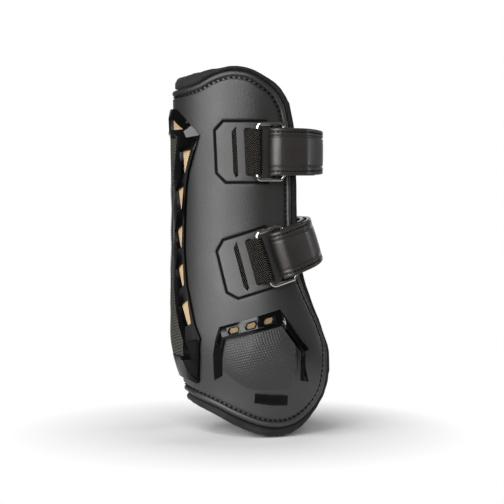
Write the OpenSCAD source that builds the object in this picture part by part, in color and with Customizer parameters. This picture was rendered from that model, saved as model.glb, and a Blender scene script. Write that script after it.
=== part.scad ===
// Tendon boot for a horse's foreleg, strapped round the back of the cannon and fetlock.
// Z is up the leg, the spine of the boot faces -X, the opening faces +X, the outer side is -Y.
// Most pieces are drawn on a flat pattern, as a boot maker cuts them: w is the distance round
// from the spine line, z the height, and h the height above the shell's outer face.

/* [Boot] */
// Height of the boot, edge roll included
boot_height = 242; // [228:1:256]
// Front to back depth of the shell at the cannon
cannon_depth = 85.5; // [80:0.5:92]
// Side to side width of the shell at the cannon
cannon_width = 78; // [72:1:84]
// Front to back depth of the shell at the fetlock
fetlock_depth = 112; // [106:1:118]
// Side to side width of the shell at the fetlock
fetlock_width = 94; // [88:1:100]
// Height of the widest part, at the fetlock
fetlock_z = 58; // [52:1:64]
// Height above which the shell runs straight
waist_z = 146; // [138:1:156]
// Extra depth and width at the top rim
top_flare = 4.5; // [2:0.5:6]
// How far the heel is drawn forward at the bottom rim
heel_tuck = 7.5; // [4:0.5:10]
// How much narrower the bottom rim is than the fetlock
foot_tuck = 17; // [12:1:20]
// Angle round from the spine beyond which the sides run straight forward, at the cannon
cannon_wing = 100; // [94:1:106]
// The same angle at the fetlock
fetlock_wing = 132; // [126:1:138]

/* [Layers] */
// Thickness of the moulded shell
shell_t = 2.6; // [2:0.2:3.2]
// Thickness of the shock foam
foam_t = 5; // [4:0.5:6]
// Thickness of the soft lining
lining_t = 2.8; // [2:0.2:4]
// How far the foam stops short of the shell's rim
foam_inset = 3; // [2:0.5:6]
// How far the lining and its roll reach past the top rim
top_reach = 2.5; // [2:0.5:5]
// How far they reach past the top rim at the spine, as a collar
collar_reach = 9.5; // [7:0.5:12]
// How far they reach past the bottom rim
bottom_reach = 6.5; // [5:0.5:9]
// How far they reach past the front edges
front_reach = 5.5; // [4:0.5:8]

/* [Spine guard] */
// Thickness of the glossy spine frame
spine_frame_t = 2.6; // [1.6:0.2:3.4]
// Thickness of the textured strike plate
strike_plate_t = 2.2; // [1.4:0.2:3]
// Thickness of the vent mesh
mesh_t = 0.4; // [0.3:0.1:0.6]

/* [Fetlock guard] */
// Thickness of the glossy fetlock frame
fetlock_frame_t = 2.2; // [1.6:0.2:3]
// Thickness of the strike pad at its rim
pad_t = 1.2; // [0.8:0.2:1.8]
// Rise of the strike pad's dome
pad_dome = 3.4; // [1:0.2:5]

/* [Straps] */
// Width of the straps
strap_w = 31; // [26:1:32]
// Thickness of the straps
strap_t = 2.4; // [2:0.2:3]
// Thickness of the hook tape and of the loop tape
tape_t = 0.8; // [0.6:0.1:1]
// Height of the upper ring's middle on the flat pattern
upper_strap_z = 187; // [182:0.5:192]
// Height of the lower ring's middle on the flat pattern
lower_strap_z = 119; // [114:0.5:124]
// Distance round from the spine line to the upper ring's middle
upper_ring_w = 76; // [73:0.5:79]
// Distance round from the spine line to the lower ring's middle
lower_ring_w = 79; // [76:0.5:82]
// Upward slope of the lower strap towards the front
lower_tilt = 18; // [12:1:20]
// How far the upper strap stands off the shell's closed round at the front
upper_stand_off = 6; // [3:0.5:9]
// How far the lower strap stands off it
lower_stand_off = -2.5; // [-4:0.5:2]
// Inside radius of the strap's fold round the ring
fold_r = 3.6; // [3:0.1:4]
// How far the fold's middle stops short of the ring's outer bar
fold_back = 5.8; // [5:0.2:6.2]
// Angle from the spine at which the strap's tail ends
tail_end = 196; // [188:1:204]

/* [Rings] */
// Diameter of the ring's wire
wire_d = 3; // [2.4:0.2:3.2]
// Distance between the ring's two upright bars
ring_span = 17; // [16:0.5:18]
// Corner radius of the ring at the middle of its wire
ring_corner = 2.6; // [2.2:0.1:3.2]
// Width of the elastic tab
elastic_w = 30; // [26:0.5:32]
// Thickness of the elastic tab
elastic_t = 1.4; // [1:0.1:1.6]
// Thickness of the strap panels
panel_t = 1; // [0.6:0.1:1.2]

/* [Clearances] */
// Gap between pieces that lie on one another
seat_gap = 0.3; // [0.2:0.05:0.4]
// Gap between the boot's shell, foam and lining
layer_gap = 0.5; // [0.35:0.05:0.6]
// Gap round the ring's bar in its elastic loop
bar_gap = 0.1; // [0.06:0.01:0.15]
// Gap between the elastic's edges and the ring's corners
elastic_side_gap = 0.5; // [0.3:0.1:1]

/* [Hidden] */
$fn = 48;

// Height for which the flat pattern below is drawn, roll included
pattern_height = 242;
grade = boot_height / pattern_height;

// Layer faces, as heights above the shell's outer face
foam_top = -shell_t - layer_gap;
foam_bottom = foam_top - foam_t;
lining_top = foam_bottom - layer_gap;
lining_bottom = lining_top - lining_t;
mesh_bottom = seat_gap;
mesh_top = mesh_bottom + mesh_t;
guard_bottom = mesh_top + seat_gap;
panel_top = seat_gap + panel_t;
strap_seat = panel_top + 1.5 * seat_gap;

// Rim of the shell on the flat pattern, from the spine round to the front edge
rim_top = [[0, 228.5], [15, 229], [29.5, 231.5], [42, 237], [54, 240], [66, 238.5], [76, 233], [84, 226.5], [89.5, 217]];
rim_bottom = [[0, 26], [17, 23.5], [34, 19], [49.5, 12], [64.5, 6], [80, 5], [95, 11], [109, 23.5], [119, 42]];
// Distance round to the front edge at even heights, from the end of the bottom rim up to the end of the top rim
front_w = [119, 122.5, 117, 109, 102, 97, 93.5, 92, 92, 92, 92, 92, 89.5];
front_z = [rim_bottom[len(rim_bottom) - 1][1], rim_top[len(rim_top) - 1][1]];
rim_front = [for (k = [0:len(front_w) - 1]) [front_w[k], front_z[0] + (front_z[1] - front_z[0]) * k / (len(front_w) - 1)]];

function smooth(t) = let (c = min(1, max(0, t))) c * c * (3 - 2 * c);
function ramp(z, low, high) = smooth((z - low) / (high - low));
function mix(a, b, t) = a + (b - a) * t;
function spline(p, t) =
    let (n = len(p) - 1, k = min(floor(t * n), n - 1), f = t * n - k,
         a = p[max(k - 1, 0)], b = p[k], c = p[k + 1], d = p[min(k + 2, n)])
    0.5 * (2 * b + (c - a) * f + (2 * a - 5 * b + 4 * c - d) * f * f + (3 * b - a - 3 * c + d) * f * f * f);

// How far the spine stands back at the fetlock, and where the heel's tuck begins and ends
fetlock_back = 1.5;
heel_low = 22;
heel_over = 8;

// Sections of the shell's outer face: an ellipse round the back at every height, its sides straight towards the front
function swell(z) = 1 - ramp(z, fetlock_z, waist_z);
function tuck(z) = 1 - ramp(z, 0, fetlock_z);
function flare(z) = top_flare * ramp(z, waist_z, boot_height);
function depth_at(z) = mix(cannon_depth, fetlock_depth, swell(z)) + flare(z) - foot_tuck * tuck(z);
function width_at(z) = mix(cannon_width, fetlock_width, swell(z)) + flare(z) - foot_tuck * tuck(z);
function back_at(z) = -cannon_depth / 2 - flare(z) / 2 - fetlock_back * swell(z)
    + heel_tuck * (1 - ramp(z, heel_low, fetlock_z + heel_over));
function mean_radius(z) = (depth_at(z) + width_at(z)) / 4;
function on_section(angle, z, h) =
    let (a = depth_at(z) / 2, b = width_at(z) / 2)
    [back_at(z) + a - (a + h) * cos(angle), -(b + h) * sin(angle), z];
function angle_of(w, z) = w / mean_radius(z) * 180 / PI;
function wing_start(z) = mix(cannon_wing, fetlock_wing, swell(z));
function wrap(w, z, h) =
    let (angle = angle_of(abs(w), z), start = wing_start(z), p = on_section(min(angle, start), z, h),
         ahead = [depth_at(z) * sin(start), -width_at(z) * cos(start), 0],
         q = p + max(0, angle - start) * PI / 180 * mean_radius(z) * ahead / norm(ahead))
    [q[0], w < 0 ? -q[1] : q[1], q[2]];
function graded(p) = [p[0], p[1] * grade];

// Rim point at fraction a from the spine, moved outwards on the pattern by reach
function rim_point(rim, outward, a, reach) =
    let (e = 0.004, d = spline(rim, min(1, a + e)) - spline(rim, max(0, a - e)),
         side = [-d[1], d[0]] * outward / norm(d))
    spline(rim, a) + reach * (a == 0 ? [0, outward] : side);
// Reach at fraction a, from its value at the spine over its value at the side to that at the front edge
function reach_at(a, spine, side, front) =
    mix(mix(spine, side, smooth((a - 0.2) / 0.25)), front, smooth((a - 0.6) / 0.4));
// How far the front edge bows from the straight line between its ends
function front_bow(t) = spline(rim_front, t) - mix(rim_front[0], rim_front[len(rim_front) - 1], t);
// Point of a layer: a runs from the spine to the front edge, t from the bottom rim to the top rim
function layer_point(a, t, collar, top, bottom, front) =
    let (low = rim_point(rim_bottom, -1, a, reach_at(a, bottom, bottom, front)),
         high = rim_point(rim_top, 1, a, reach_at(a, collar, top, front)))
    mix(low, high, t) + a * a * front_bow(t);

// A grid of [w, z, top h, bottom h] points becomes a closed solid; keep says which cells are there
module patch(grid, keep = function(i, j) true) {
    n = len(grid) - 1;
    m = len(grid[0]) - 1;
    low = (n + 1) * (m + 1);
    at = function(i, j) i * (m + 1) + j;
    there = function(i, j) i >= 0 && j >= 0 && i < n && j < m && keep(i, j);
    points = [for (side = [2, 3]) for (column = grid) for (p = column) wrap(p[0], p[1] * grade, p[side])];
    quads = [for (i = [0:n - 1]) for (j = [0:m - 1]) if (there(i, j)) each [
        [at(i, j), at(i, j + 1), at(i + 1, j + 1), at(i + 1, j)],
        [low + at(i, j), low + at(i + 1, j), low + at(i + 1, j + 1), low + at(i, j + 1)],
        if (!there(i - 1, j)) [at(i, j), low + at(i, j), low + at(i, j + 1), at(i, j + 1)],
        if (!there(i + 1, j)) [at(i + 1, j + 1), low + at(i + 1, j + 1), low + at(i + 1, j), at(i + 1, j)],
        if (!there(i, j - 1)) [at(i + 1, j), low + at(i + 1, j), low + at(i, j), at(i, j)],
        if (!there(i, j + 1)) [at(i, j + 1), low + at(i, j + 1), low + at(i + 1, j + 1), at(i + 1, j + 1)]
    ]];
    // Cells on the two sides of the spine split along mirrored diagonals
    turned = function(q) points[q[0]][1] + points[q[2]][1] > 0 ? [q[1], q[2], q[3], q[0]] : q;
    polyhedron(points, [for (c = quads) let (q = turned(c)) each [[q[0], q[1], q[2]], [q[0], q[2], q[3]]]]);
}

// A layer of the boot between two heights, its rim moved out by the four reaches
module layer(collar, top, bottom, front, h_top, h_bottom) {
    patch([for (i = [-layer_columns:layer_columns]) [for (j = [0:layer_rows])
        let (p = layer_point(abs(i) / layer_columns, j / layer_rows, collar, top, bottom, front))
        [sign(i) * p[0], p[1], h_top, h_bottom]]]);
}
layer_columns = 20;
layer_rows = 16;

module medial() { mirror([0, 1, 0]) children(); }

module outer_shell() { color("#3a3a3c") layer(0, 0, 0, 0, 0, -shell_t); }

module shock_foam() {
    color("#202022") layer(-foam_inset, -foam_inset, -foam_inset, -foam_inset, foam_top, foam_bottom);
}

module lining() {
    inset = 1;
    color("#18181a") layer(collar_reach - inset, top_reach - inset, bottom_reach - inset, front_reach - inset,
        lining_top, lining_bottom);
}

// Padded roll round the whole rim, outside the shell's edge and on top of the lining
roll_sides = 8;
roll_columns = 18;
roll_rows = 10;
function roll_section(reach) =
    let (r = (reach - seat_gap) / 2, mid = seat_gap + r, top = -0.6, low = lining_top + seat_gap)
    [for (k = [0:roll_sides - 1])
        let (q = 360 * (k + 0.5) / roll_sides, c = 1 / cos(180 / roll_sides))
        [mid + r * c * cos(q), (top + low) / 2 + (top - low) / 2 * c * sin(q)]];
// Half of the rim as [point on the rim, outward direction, reach], from the spine's foot to its top
half_rim = concat(
    [for (i = [0:roll_columns - 1]) let (a = i / roll_columns)
        [spline(rim_bottom, a), rim_point(rim_bottom, -1, a, 1), reach_at(a, bottom_reach, bottom_reach, front_reach)]],
    [for (j = [0:roll_rows]) let (t = j / roll_rows)
        [layer_point(1, t, 0, 0, 0, 0), layer_point(1, t, 1, 1, 1, 1), front_reach]],
    [for (i = [roll_columns - 1:-1:0]) let (a = i / roll_columns)
        [spline(rim_top, a), rim_point(rim_top, 1, a, 1), reach_at(a, collar_reach, top_reach, front_reach)]]);
function roll_ring(k, hand) =
    let (start = half_rim[k][0], out = half_rim[k][1] - start, reach = half_rim[k][2])
    [for (s = roll_section(reach)) let (p = start + out * s[0]) wrap(hand * p[0], p[1] * grade, s[1])];

module edge_roll() {
    n = len(half_rim);
    rings = concat([for (k = [0:n - 1]) roll_ring(k, 1)], [for (k = [n - 2:-1:1]) roll_ring(k, -1)]);
    total = len(rings);
    faces = [for (i = [0:total - 1]) for (k = [0:roll_sides - 1])
        let (a = i * roll_sides, b = ((i + 1) % total) * roll_sides, l = (k + 1) % roll_sides)
        each [[a + k, b + k, b + l], [a + k, b + l, a + l]]];
    color("#141416") polyhedron([for (r = rings) each r], faces);
}

// Spine guard: half of the frame, as rows of points from its top to its foot.
// Each row runs from the spine line over the plate's edge and the vent's two sides to the frame's edge.
spine_rows = [
    [[0, 216], [3, 216], [5, 215.5], [7, 215.5], [9, 215]],
    [[0, 210.5], [2.5, 210.5], [3.5, 210], [5, 210], [17, 210.5]],
    [[0, 201.5], [1, 201.5], [2, 201.5], [17, 201.5], [27.5, 202]],
    [[0, 197], [12, 196.5], [15.5, 196.5], [23, 197], [31.5, 198]],
    [[0, 188], [10, 188], [15.5, 187], [25, 188.5], [27.5, 188.5]],
    [[0, 173], [5, 173], [17, 172.5], [19, 173.5], [21, 173.5]],
    [[0, 162], [3.5, 162], [8.5, 161.5], [16.5, 163.5], [18.5, 163.5]],
    [[0, 149], [2.5, 149], [11, 148.5], [13.5, 149.5], [17, 149]],
    [[0, 135], [2.5, 135], [7, 134.5], [15, 138], [16.5, 138]],
    [[0, 123], [3, 123], [12, 122.5], [14, 124], [16.5, 123.5]],
    [[0, 110], [4, 110], [10, 109.5], [16.5, 113], [18, 112.5]],
    [[0, 97], [6, 97], [16, 96], [18, 99.5], [21, 98.5]],
    [[0, 85.5], [9.5, 85.5], [16, 85], [23, 88.5], [24.5, 88]],
    [[0, 72], [15, 72.5], [21, 71.5], [26.5, 74], [29.5, 74]],
    [[0, 62], [20.5, 62], [23.5, 61.5], [33, 64], [34.5, 64.5]],
    [[0, 51], [17.5, 51], [28.5, 50.5], [30, 50], [31.5, 51.5]],
    [[0, 48.5], [12, 49], [16.5, 48.5], [26.5, 40], [29.5, 46.5]],
    [[0, 41], [11, 41], [18.5, 40.5], [24.5, 36], [27, 40.5]],
    [[0, 36.5], [10, 36], [17.5, 35.5], [23, 33.5], [25, 35]]
];
vent_rows = [1, 4, 6, 8, 10, 12, 14, 16];
plate_rows = [3, 15];
mesh_rows = [1, 13];
mesh_margin = 1.2;
spine_split = 2;
row_split = 2;
function spine_row(j) = mix(spine_rows[floor(j)], spine_rows[ceil(j)], j - floor(j));
function spine_edge(row, c) =
    let (k = floor(abs(c) / spine_split), f = abs(c) / spine_split - k,
         p = mix(row[k], row[min(k + 1, len(row) - 1)], f))
    [sign(c) * p[0], p[1]];
spine_columns = (len(spine_rows[0]) - 1) * spine_split;
vent_column = 2;

module spine_frame() {
    last = len(spine_rows) - 1;
    grid = [for (c = [-spine_columns:spine_columns]) [for (j = [last:-1 / row_split:0])
        let (p = spine_edge(spine_row(j), c)) [p[0], p[1], guard_bottom + spine_frame_t, guard_bottom]]];
    band = function(i) floor((i < spine_columns ? spine_columns - 1 - i : i - spine_columns) / spine_split);
    row = function(j) last - 1 - floor(j / row_split);
    in_plate = function(i, j) band(i) == 0 && row(j) >= plate_rows[0] && row(j) < plate_rows[1];
    in_vent = function(i, j) band(i) == vent_column && len(search(row(j), vent_rows)) > 0;
    color("#0c0c0e") patch(grid, function(i, j) !in_plate(i, j) && !in_vent(i, j));
}

// Textured plate in the frame's window, from its foot to its top
module strike_plate() {
    steps = 3;
    edge = function(j) spine_rows[j][1] - [2 * seat_gap, 0];
    shift = function(j) j == plate_rows[0] ? -2 * seat_gap : j == plate_rows[1] ? 2 * seat_gap : 0;
    color("#2a2a2c") patch([for (c = [-steps:steps]) [for (j = [plate_rows[1]:-1:plate_rows[0]])
        let (p = mix([0, spine_rows[j][0][1]], edge(j), abs(c) / steps))
        [sign(c) * p[0], p[1] + shift(j), seat_gap + strike_plate_t, seat_gap]]]);
}

// Strip of mesh behind one row of vents
module spine_mesh_lateral() {
    steps = 8;
    color("#c8a878") patch([for (c = [0:steps]) [for (j = [mesh_rows[1]:-1 / row_split:mesh_rows[0]])
        let (row = spine_row(j), p = mix(row[2] - [mesh_margin, 0], row[3] + [mesh_margin, 0], c / steps))
        [p[0], p[1], mesh_top, mesh_bottom]]]);
}

module spine_mesh_medial() { medial() spine_mesh_lateral(); }

// Fetlock guard: the frame's outer and inner edges, from its rear foot over the top to its front foot
fetlock_outer = [[37.5, 36.5], [47.5, 72.5], [85, 84], [104, 58], [98.5, 35]];
fetlock_inner = [[44.5, 40], [52, 64.5], [86, 74], [99, 55], [93, 36]];
// Three vents along the frame's top bar, as shares of the bar's length and width
vent_first = 0.11;
vent_long = 0.2;
vent_pitch = 0.285;
fetlock_vents = [for (k = [0:2]) [vent_first + vent_pitch * k, vent_first + vent_pitch * k + vent_long]];
vent_share = [0.22, 0.78];
frame_stops = concat([0, 0.5, 1], [for (v = fetlock_vents) each [1 + v[0], 1 + v[1]]], [2, 2.33, 2.67, 3, 3.5, 4]);
frame_across = [1, vent_share[1], vent_share[0], 0];
function along(list, s) = let (k = min(floor(s), len(list) - 2)) mix(list[k], list[k + 1], s - k);

module fetlock_frame_lateral() {
    first_vent = 3;
    top = guard_bottom + fetlock_frame_t;
    grid = [for (s = frame_stops) [for (c = frame_across)
        let (p = mix(along(fetlock_outer, s), along(fetlock_inner, s), c)) [p[0], p[1], top, guard_bottom]]];
    in_vent = function(i, j) j == 1 && i >= first_vent && i < first_vent + 2 * len(fetlock_vents)
        && (i - first_vent) % 2 == 0;
    color("#0c0c0e") patch(grid, function(i, j) !in_vent(i, j));
}

module fetlock_frame_medial() { medial() fetlock_frame_lateral(); }

// Domed strike pad inside the frame, between its lower and its upper edge
pad_low = [[47, 40.5], [50.5, 35.5], [57.5, 31.5], [66.5, 30], [77, 30], [85.5, 32], [91, 36.5]];
pad_high = [[54, 62.5], [62, 65.5], [70, 67.5], [78, 70], [85.5, 72], [91.5, 63], [97, 55]];

module fetlock_pad_lateral() {
    n = 12;
    m = 6;
    crown = function(s) 1 - pow(2 * s - 1, 4);
    color("#2c2c2e") patch([for (i = [0:n]) [for (j = [0:m])
        let (s = i / n * (len(pad_low) - 1), t = j / m, p = mix(along(pad_low, s), along(pad_high, s), t))
        [p[0], p[1], seat_gap + pad_t + pad_dome * crown(i / n) * crown(t), seat_gap]]]);
}

module fetlock_pad_medial() { medial() fetlock_pad_lateral(); }

module fetlock_mesh_lateral() {
    ends = [1 + fetlock_vents[0][0] / 2, 1 + (1 + fetlock_vents[2][1]) / 2];
    steps = 8;
    margin = 0.08;
    color("#c8a878") patch([for (i = [0:steps]) [for (c = [vent_share[1] + margin, vent_share[0] - margin])
        let (s = mix(ends[0], ends[1], i / steps), p = mix(along(fetlock_outer, s), along(fetlock_inner, s), c))
        [p[0], p[1], mesh_top, mesh_bottom]]]);
}

module fetlock_mesh_medial() { medial() fetlock_mesh_lateral(); }

// Glossy rib below the pad
rib_low = [[60.5, 22], [71, 20], [81, 19.5]];
rib_high = [[62, 28.5], [71.5, 27], [82, 26.5]];

module fetlock_rib_lateral() {
    steps = 6;
    color("#0c0c0e") patch([for (i = [0:steps]) [for (t = [0, 1])
        let (s = i / steps * 2, p = mix(along(rib_low, s), along(rib_high, s), t))
        [p[0], p[1], seat_gap + fetlock_frame_t, seat_gap]]]);
}

module fetlock_rib_medial() { medial() fetlock_rib_lateral(); }

// Strap sets: [distance of the ring's middle from the spine, its height, slope, extra lift, stand-off].
// A strap lies in a plane that slopes up to the front; u runs along it from the ring's middle.
// The extra lift lets a strap's straight edges clear the shell where it widens up or down the leg
function slope_lift(z) = 1.15 * strap_w / 2 * abs(width_at(z + 1) - width_at(z - 1)) / 4;
upper = [upper_ring_w, upper_strap_z * grade, 0, slope_lift(upper_strap_z * grade), upper_stand_off];
lower = [lower_ring_w, lower_strap_z * grade, lower_tilt, slope_lift(lower_strap_z * grade), lower_stand_off];
// Panel on the shell, and the sewn slot in it
panel_ends = [-34, 8];
panel_half_h = 20;
panel_chamfer = 6;
slot_u = [-23, -20];
slot_half_h = 16.5;
elastic_slot_u = -14;

module strap_panel(set) {
    steps = 5;
    columns = [panel_ends[0], panel_ends[0] + panel_chamfer, slot_u[0],
        for (k = [0:steps]) mix(slot_u[1], panel_ends[1] - panel_chamfer, k / steps), panel_ends[1]];
    slot_column = 2;
    half = function(u) panel_half_h - max(0, panel_ends[0] + panel_chamfer - u, u - panel_ends[1] + panel_chamfer);
    rows = function(u) [-half(u), -min(half(u) - 1, slot_half_h), 0, min(half(u) - 1, slot_half_h), half(u)];
    color("#3c3c3e") patch([for (u = columns) [for (v = rows(u))
        [set[0] + u * cos(set[2]) - v * sin(set[2]), set[1] / grade + u * sin(set[2]) + v * cos(set[2]),
            panel_top, seat_gap]]],
        function(i, j) !(i == slot_column && j > 0 && j < 3));
}

module upper_panel_lateral() { strap_panel(upper); }
module upper_panel_medial() { medial() strap_panel(upper); }
module lower_panel_lateral() { strap_panel(lower); }
module lower_panel_medial() { medial() strap_panel(lower); }

// Plan of a strap, in its own plane: points at an angle round the leg and a height above the shell
function plane_z(set) = set[1] - wrap(set[0], set[1], 0)[0] * tan(set[2]);
function settle(set, angle, h, z, n) =
    n == 0 ? z : settle(set, angle, h, plane_z(set) + on_section(angle, z, h)[0] * tan(set[2]), n - 1);
function plan(set, angle, h) =
    let (p = on_section(angle, settle(set, angle, h, set[1], 6), h)) [p[0] / cos(set[2]), p[1]];
function angle_at(set, u) = angle_of(set[0] + u, set[1]);
function along_plan(set, angle) =
    let (d = plan(set, angle + 1, strap_lift(set, angle + 1)) - plan(set, angle - 1, strap_lift(set, angle - 1)))
    d / norm(d);
function outwards(d) = [d[1], -d[0]];

wire_r = wire_d / 2;
loop_r = wire_r + bar_gap + elastic_t;
tape_stack = 2 * tape_t + 3 * seat_gap;
fold_out_r = fold_r + strap_t;
fold_u = ring_span / 2 - fold_back;
strap_end = 283;
// Angle either side of the front over which a strap leaves the shell
front_arc = 54;
// How far the straight sides stand outside the round at an angle
function wing_rise(set, angle) =
    let (over = min(180 - front_arc, 180 - abs(angle - 180)) - wing_start(set[1]))
    mean_radius(set[1]) * (1 / cos(max(0, over)) - 1);
function base_lift(set, angle) = strap_seat + set[3] + wing_rise(set, angle);
function strap_lift(set, angle) =
    mix(base_lift(set, angle), set[4], smooth((front_arc - abs(angle - 180)) / front_arc));
function fold_h(set) = base_lift(set, fold_angle(set)) + fold_out_r;
function fold_angle(set) = angle_at(set, fold_u);
function fold_point(set, r, q) =
    let (d = along_plan(set, fold_angle(set)))
    plan(set, fold_angle(set), fold_h(set)) + r * (cos(q) * d + sin(q) * outwards(d));
function tail_lift(set, angle) =
    strap_lift(set, angle) + mix(fold_out_r + fold_r, strap_t + tape_stack,
        smooth((angle - fold_angle(set)) / (150 - fold_angle(set))));
// The ring's inner bar, and the direction to its outer bar, which lies between the strap and its tail
bar_share = 0.66;
function inner_bar(set) = plan(set, angle_at(set, -ring_span / 2), strap_seat + loop_r + set[3]);
function ring_dir(set) =
    let (a = angle_at(set, ring_span / 2),
         d = plan(set, a, mix(strap_lift(set, a) + strap_t, tail_lift(set, a), bar_share)) - inner_bar(set))
    d / norm(d);

module in_strap_plane(set) { translate([0, 0, plane_z(set)]) rotate([0, -set[2], 0]) children(); }

// A band of strap or tape between two curves given as heights over a range of angles
module band(set, from, to, low, high, width, steps) {
    angles = [for (k = [0:steps]) mix(from, to, k / steps)];
    in_strap_plane(set) linear_extrude(width, center = true) polygon(concat(
        [for (a = angles) plan(set, a, low(a))],
        [for (k = [steps:-1:0]) plan(set, angles[k], high(angles[k]))]));
}

// Main run of a strap with its fold round the ring's outer bar
module strap(set) {
    start = fold_angle(set) + 3;
    run = [for (k = [0:44]) mix(start, strap_end, k / 44)];
    turn = [for (q = [90:15:270]) q];
    in_strap_plane(set) color("#232325") linear_extrude(strap_w, center = true) polygon(concat(
        [for (q = turn) fold_point(set, fold_out_r, q)],
        [for (a = run) plan(set, a, strap_lift(set, a))],
        [for (k = [44:-1:0]) plan(set, run[k], strap_lift(set, run[k]) + strap_t)],
        [for (k = [len(turn) - 1:-1:0]) fold_point(set, fold_r, turn[k])]));
}

// Free tail of a strap, from the crease at the fold over the ring and round the front
module strap_tail(set) {
    d = along_plan(set, fold_angle(set)) * seat_gap;
    run = [for (k = [0:30]) mix(fold_angle(set) + 3, tail_end, k / 30)];
    in_strap_plane(set) color("#262628") linear_extrude(strap_w, center = true) polygon(concat(
        [fold_point(set, fold_r, 90) + d],
        [for (a = run) plan(set, a, tail_lift(set, a))],
        [for (k = [30:-1:0]) plan(set, run[k], tail_lift(set, run[k]) + strap_t)],
        [fold_point(set, fold_out_r, 90) + d]));
}

tape_start = 152;
tape_w = strap_w - 6;

module loop_tape(set) {
    low = function(a) strap_lift(set, a) + strap_t + seat_gap;
    color("#0e0e10") band(set, tape_start, tail_end + 16, low, function(a) low(a) + tape_t, tape_w, 20);
}

module hook_tape(set) {
    high = function(a) tail_lift(set, a) - seat_gap;
    color("#0e0e10") band(set, tape_start, tail_end - 3, function(a) high(a) - tape_t, high, tape_w, 16);
}

// Wire ring drawn flat: its inner bar stands on the Y axis and its outer bar at ring_span
module wire_ring() {
    $fn = 24;
    straight_y = elastic_w + 2 * elastic_side_gap;
    ring_h = straight_y + 2 * ring_corner;
    straight_x = ring_span - 2 * ring_corner;
    for (x = [0, ring_span]) translate([x, -straight_y / 2, 0]) rotate([-90, 0, 0]) cylinder(straight_y, r = wire_r);
    for (y = [-1, 1]) translate([ring_corner, y * ring_h / 2, 0]) rotate([0, 90, 0]) cylinder(straight_x, r = wire_r);
    for (x = [0, 1]) for (y = [0, 1])
        translate([x ? ring_span - ring_corner : ring_corner, (y ? 1 : -1) * straight_y / 2, 0])
            rotate([0, 0, x == y ? x ? 0 : 180 : x ? 270 : 90])
                rotate_extrude(angle = 90) translate([ring_corner, 0]) circle(wire_r);
}

module ring(set) {
    d = ring_dir(set);
    n = outwards(d);
    p = inner_bar(set);
    in_strap_plane(set) color("#b9babc")
        multmatrix([[d[0], 0, n[0], p[0]], [d[1], 0, n[1], p[1]], [0, 1, 0, 0], [0, 0, 0, 1]]) wire_ring();
}

// Elastic tab: out of the panel's slot, round the ring's inner bar and back
module elastic(set) {
    p = inner_bar(set);
    steps = 4;
    bar = angle_at(set, -ring_span / 2);
    slot = angle_at(set, elastic_slot_u);
    low = strap_seat + set[3];
    n = outwards(along_plan(set, bar));
    in_strap_plane(set) color("#1a1a1c") linear_extrude(elastic_w, center = true) difference() {
        union() {
            translate(p) circle(loop_r);
            polygon([p + n * loop_r, p, for (k = [0:steps]) plan(set, mix(bar, slot, k / steps), low),
                plan(set, slot, low + 2 * elastic_t)]);
        }
        translate(p) circle(wire_r + bar_gap);
    }
}

module upper_elastic() { elastic(upper); }
module lower_elastic() { elastic(lower); }
module upper_ring() { ring(upper); }
module lower_ring() { ring(lower); }
module upper_strap() { strap(upper); }
module lower_strap() { strap(lower); }
module upper_loop_tape() { loop_tape(upper); }
module lower_loop_tape() { loop_tape(lower); }
module upper_strap_tail() { strap_tail(upper); }
module lower_strap_tail() { strap_tail(lower); }
module upper_hook_tape() { hook_tape(upper); }
module lower_hook_tape() { hook_tape(lower); }

// Where the rings turn and the tails peel: a point of a strap's plane as a point of the boot
function from_plane(set, p) = [p[0] * cos(set[2]), p[1], plane_z(set) + p[0] * sin(set[2])];
function ring_axis(set) = from_plane(set, inner_bar(set));
function peel_axis(set) = from_plane(set, fold_point(set, fold_out_r, 90));
function axis_direction(set) = [-sin(set[2]), 0, cos(set[2])];
echo(ring_axis = ring_axis(upper), peel_axis = peel_axis(upper), direction = axis_direction(upper));
echo(ring_axis = ring_axis(lower), peel_axis = peel_axis(lower), direction = axis_direction(lower));

outer_shell();
shock_foam();
lining();
edge_roll();
spine_frame();
strike_plate();
spine_mesh_lateral();
spine_mesh_medial();
fetlock_frame_lateral();
fetlock_frame_medial();
fetlock_pad_lateral();
fetlock_pad_medial();
fetlock_mesh_lateral();
fetlock_mesh_medial();
fetlock_rib_lateral();
fetlock_rib_medial();
upper_panel_lateral();
upper_panel_medial();
lower_panel_lateral();
lower_panel_medial();
upper_elastic();
lower_elastic();
upper_ring();
lower_ring();
upper_strap();
lower_strap();
upper_loop_tape();
lower_loop_tape();
upper_strap_tail();
lower_strap_tail();
upper_hook_tape();
lower_hook_tape();
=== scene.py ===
# %% [markdown]
# # A tendon boot for a horse's leg
# The boot is a moulded shell wrapped round the back of the leg, with a soft lining inside it and two
# straps across the open front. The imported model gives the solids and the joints. This lesson dresses
# them: every solid gets a finer piece that rides on the same body.

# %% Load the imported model
import math

import bmesh
import bpy
import numpy as np
from mathutils import Matrix, Vector, geometry
from mathutils.kdtree import KDTree


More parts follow.
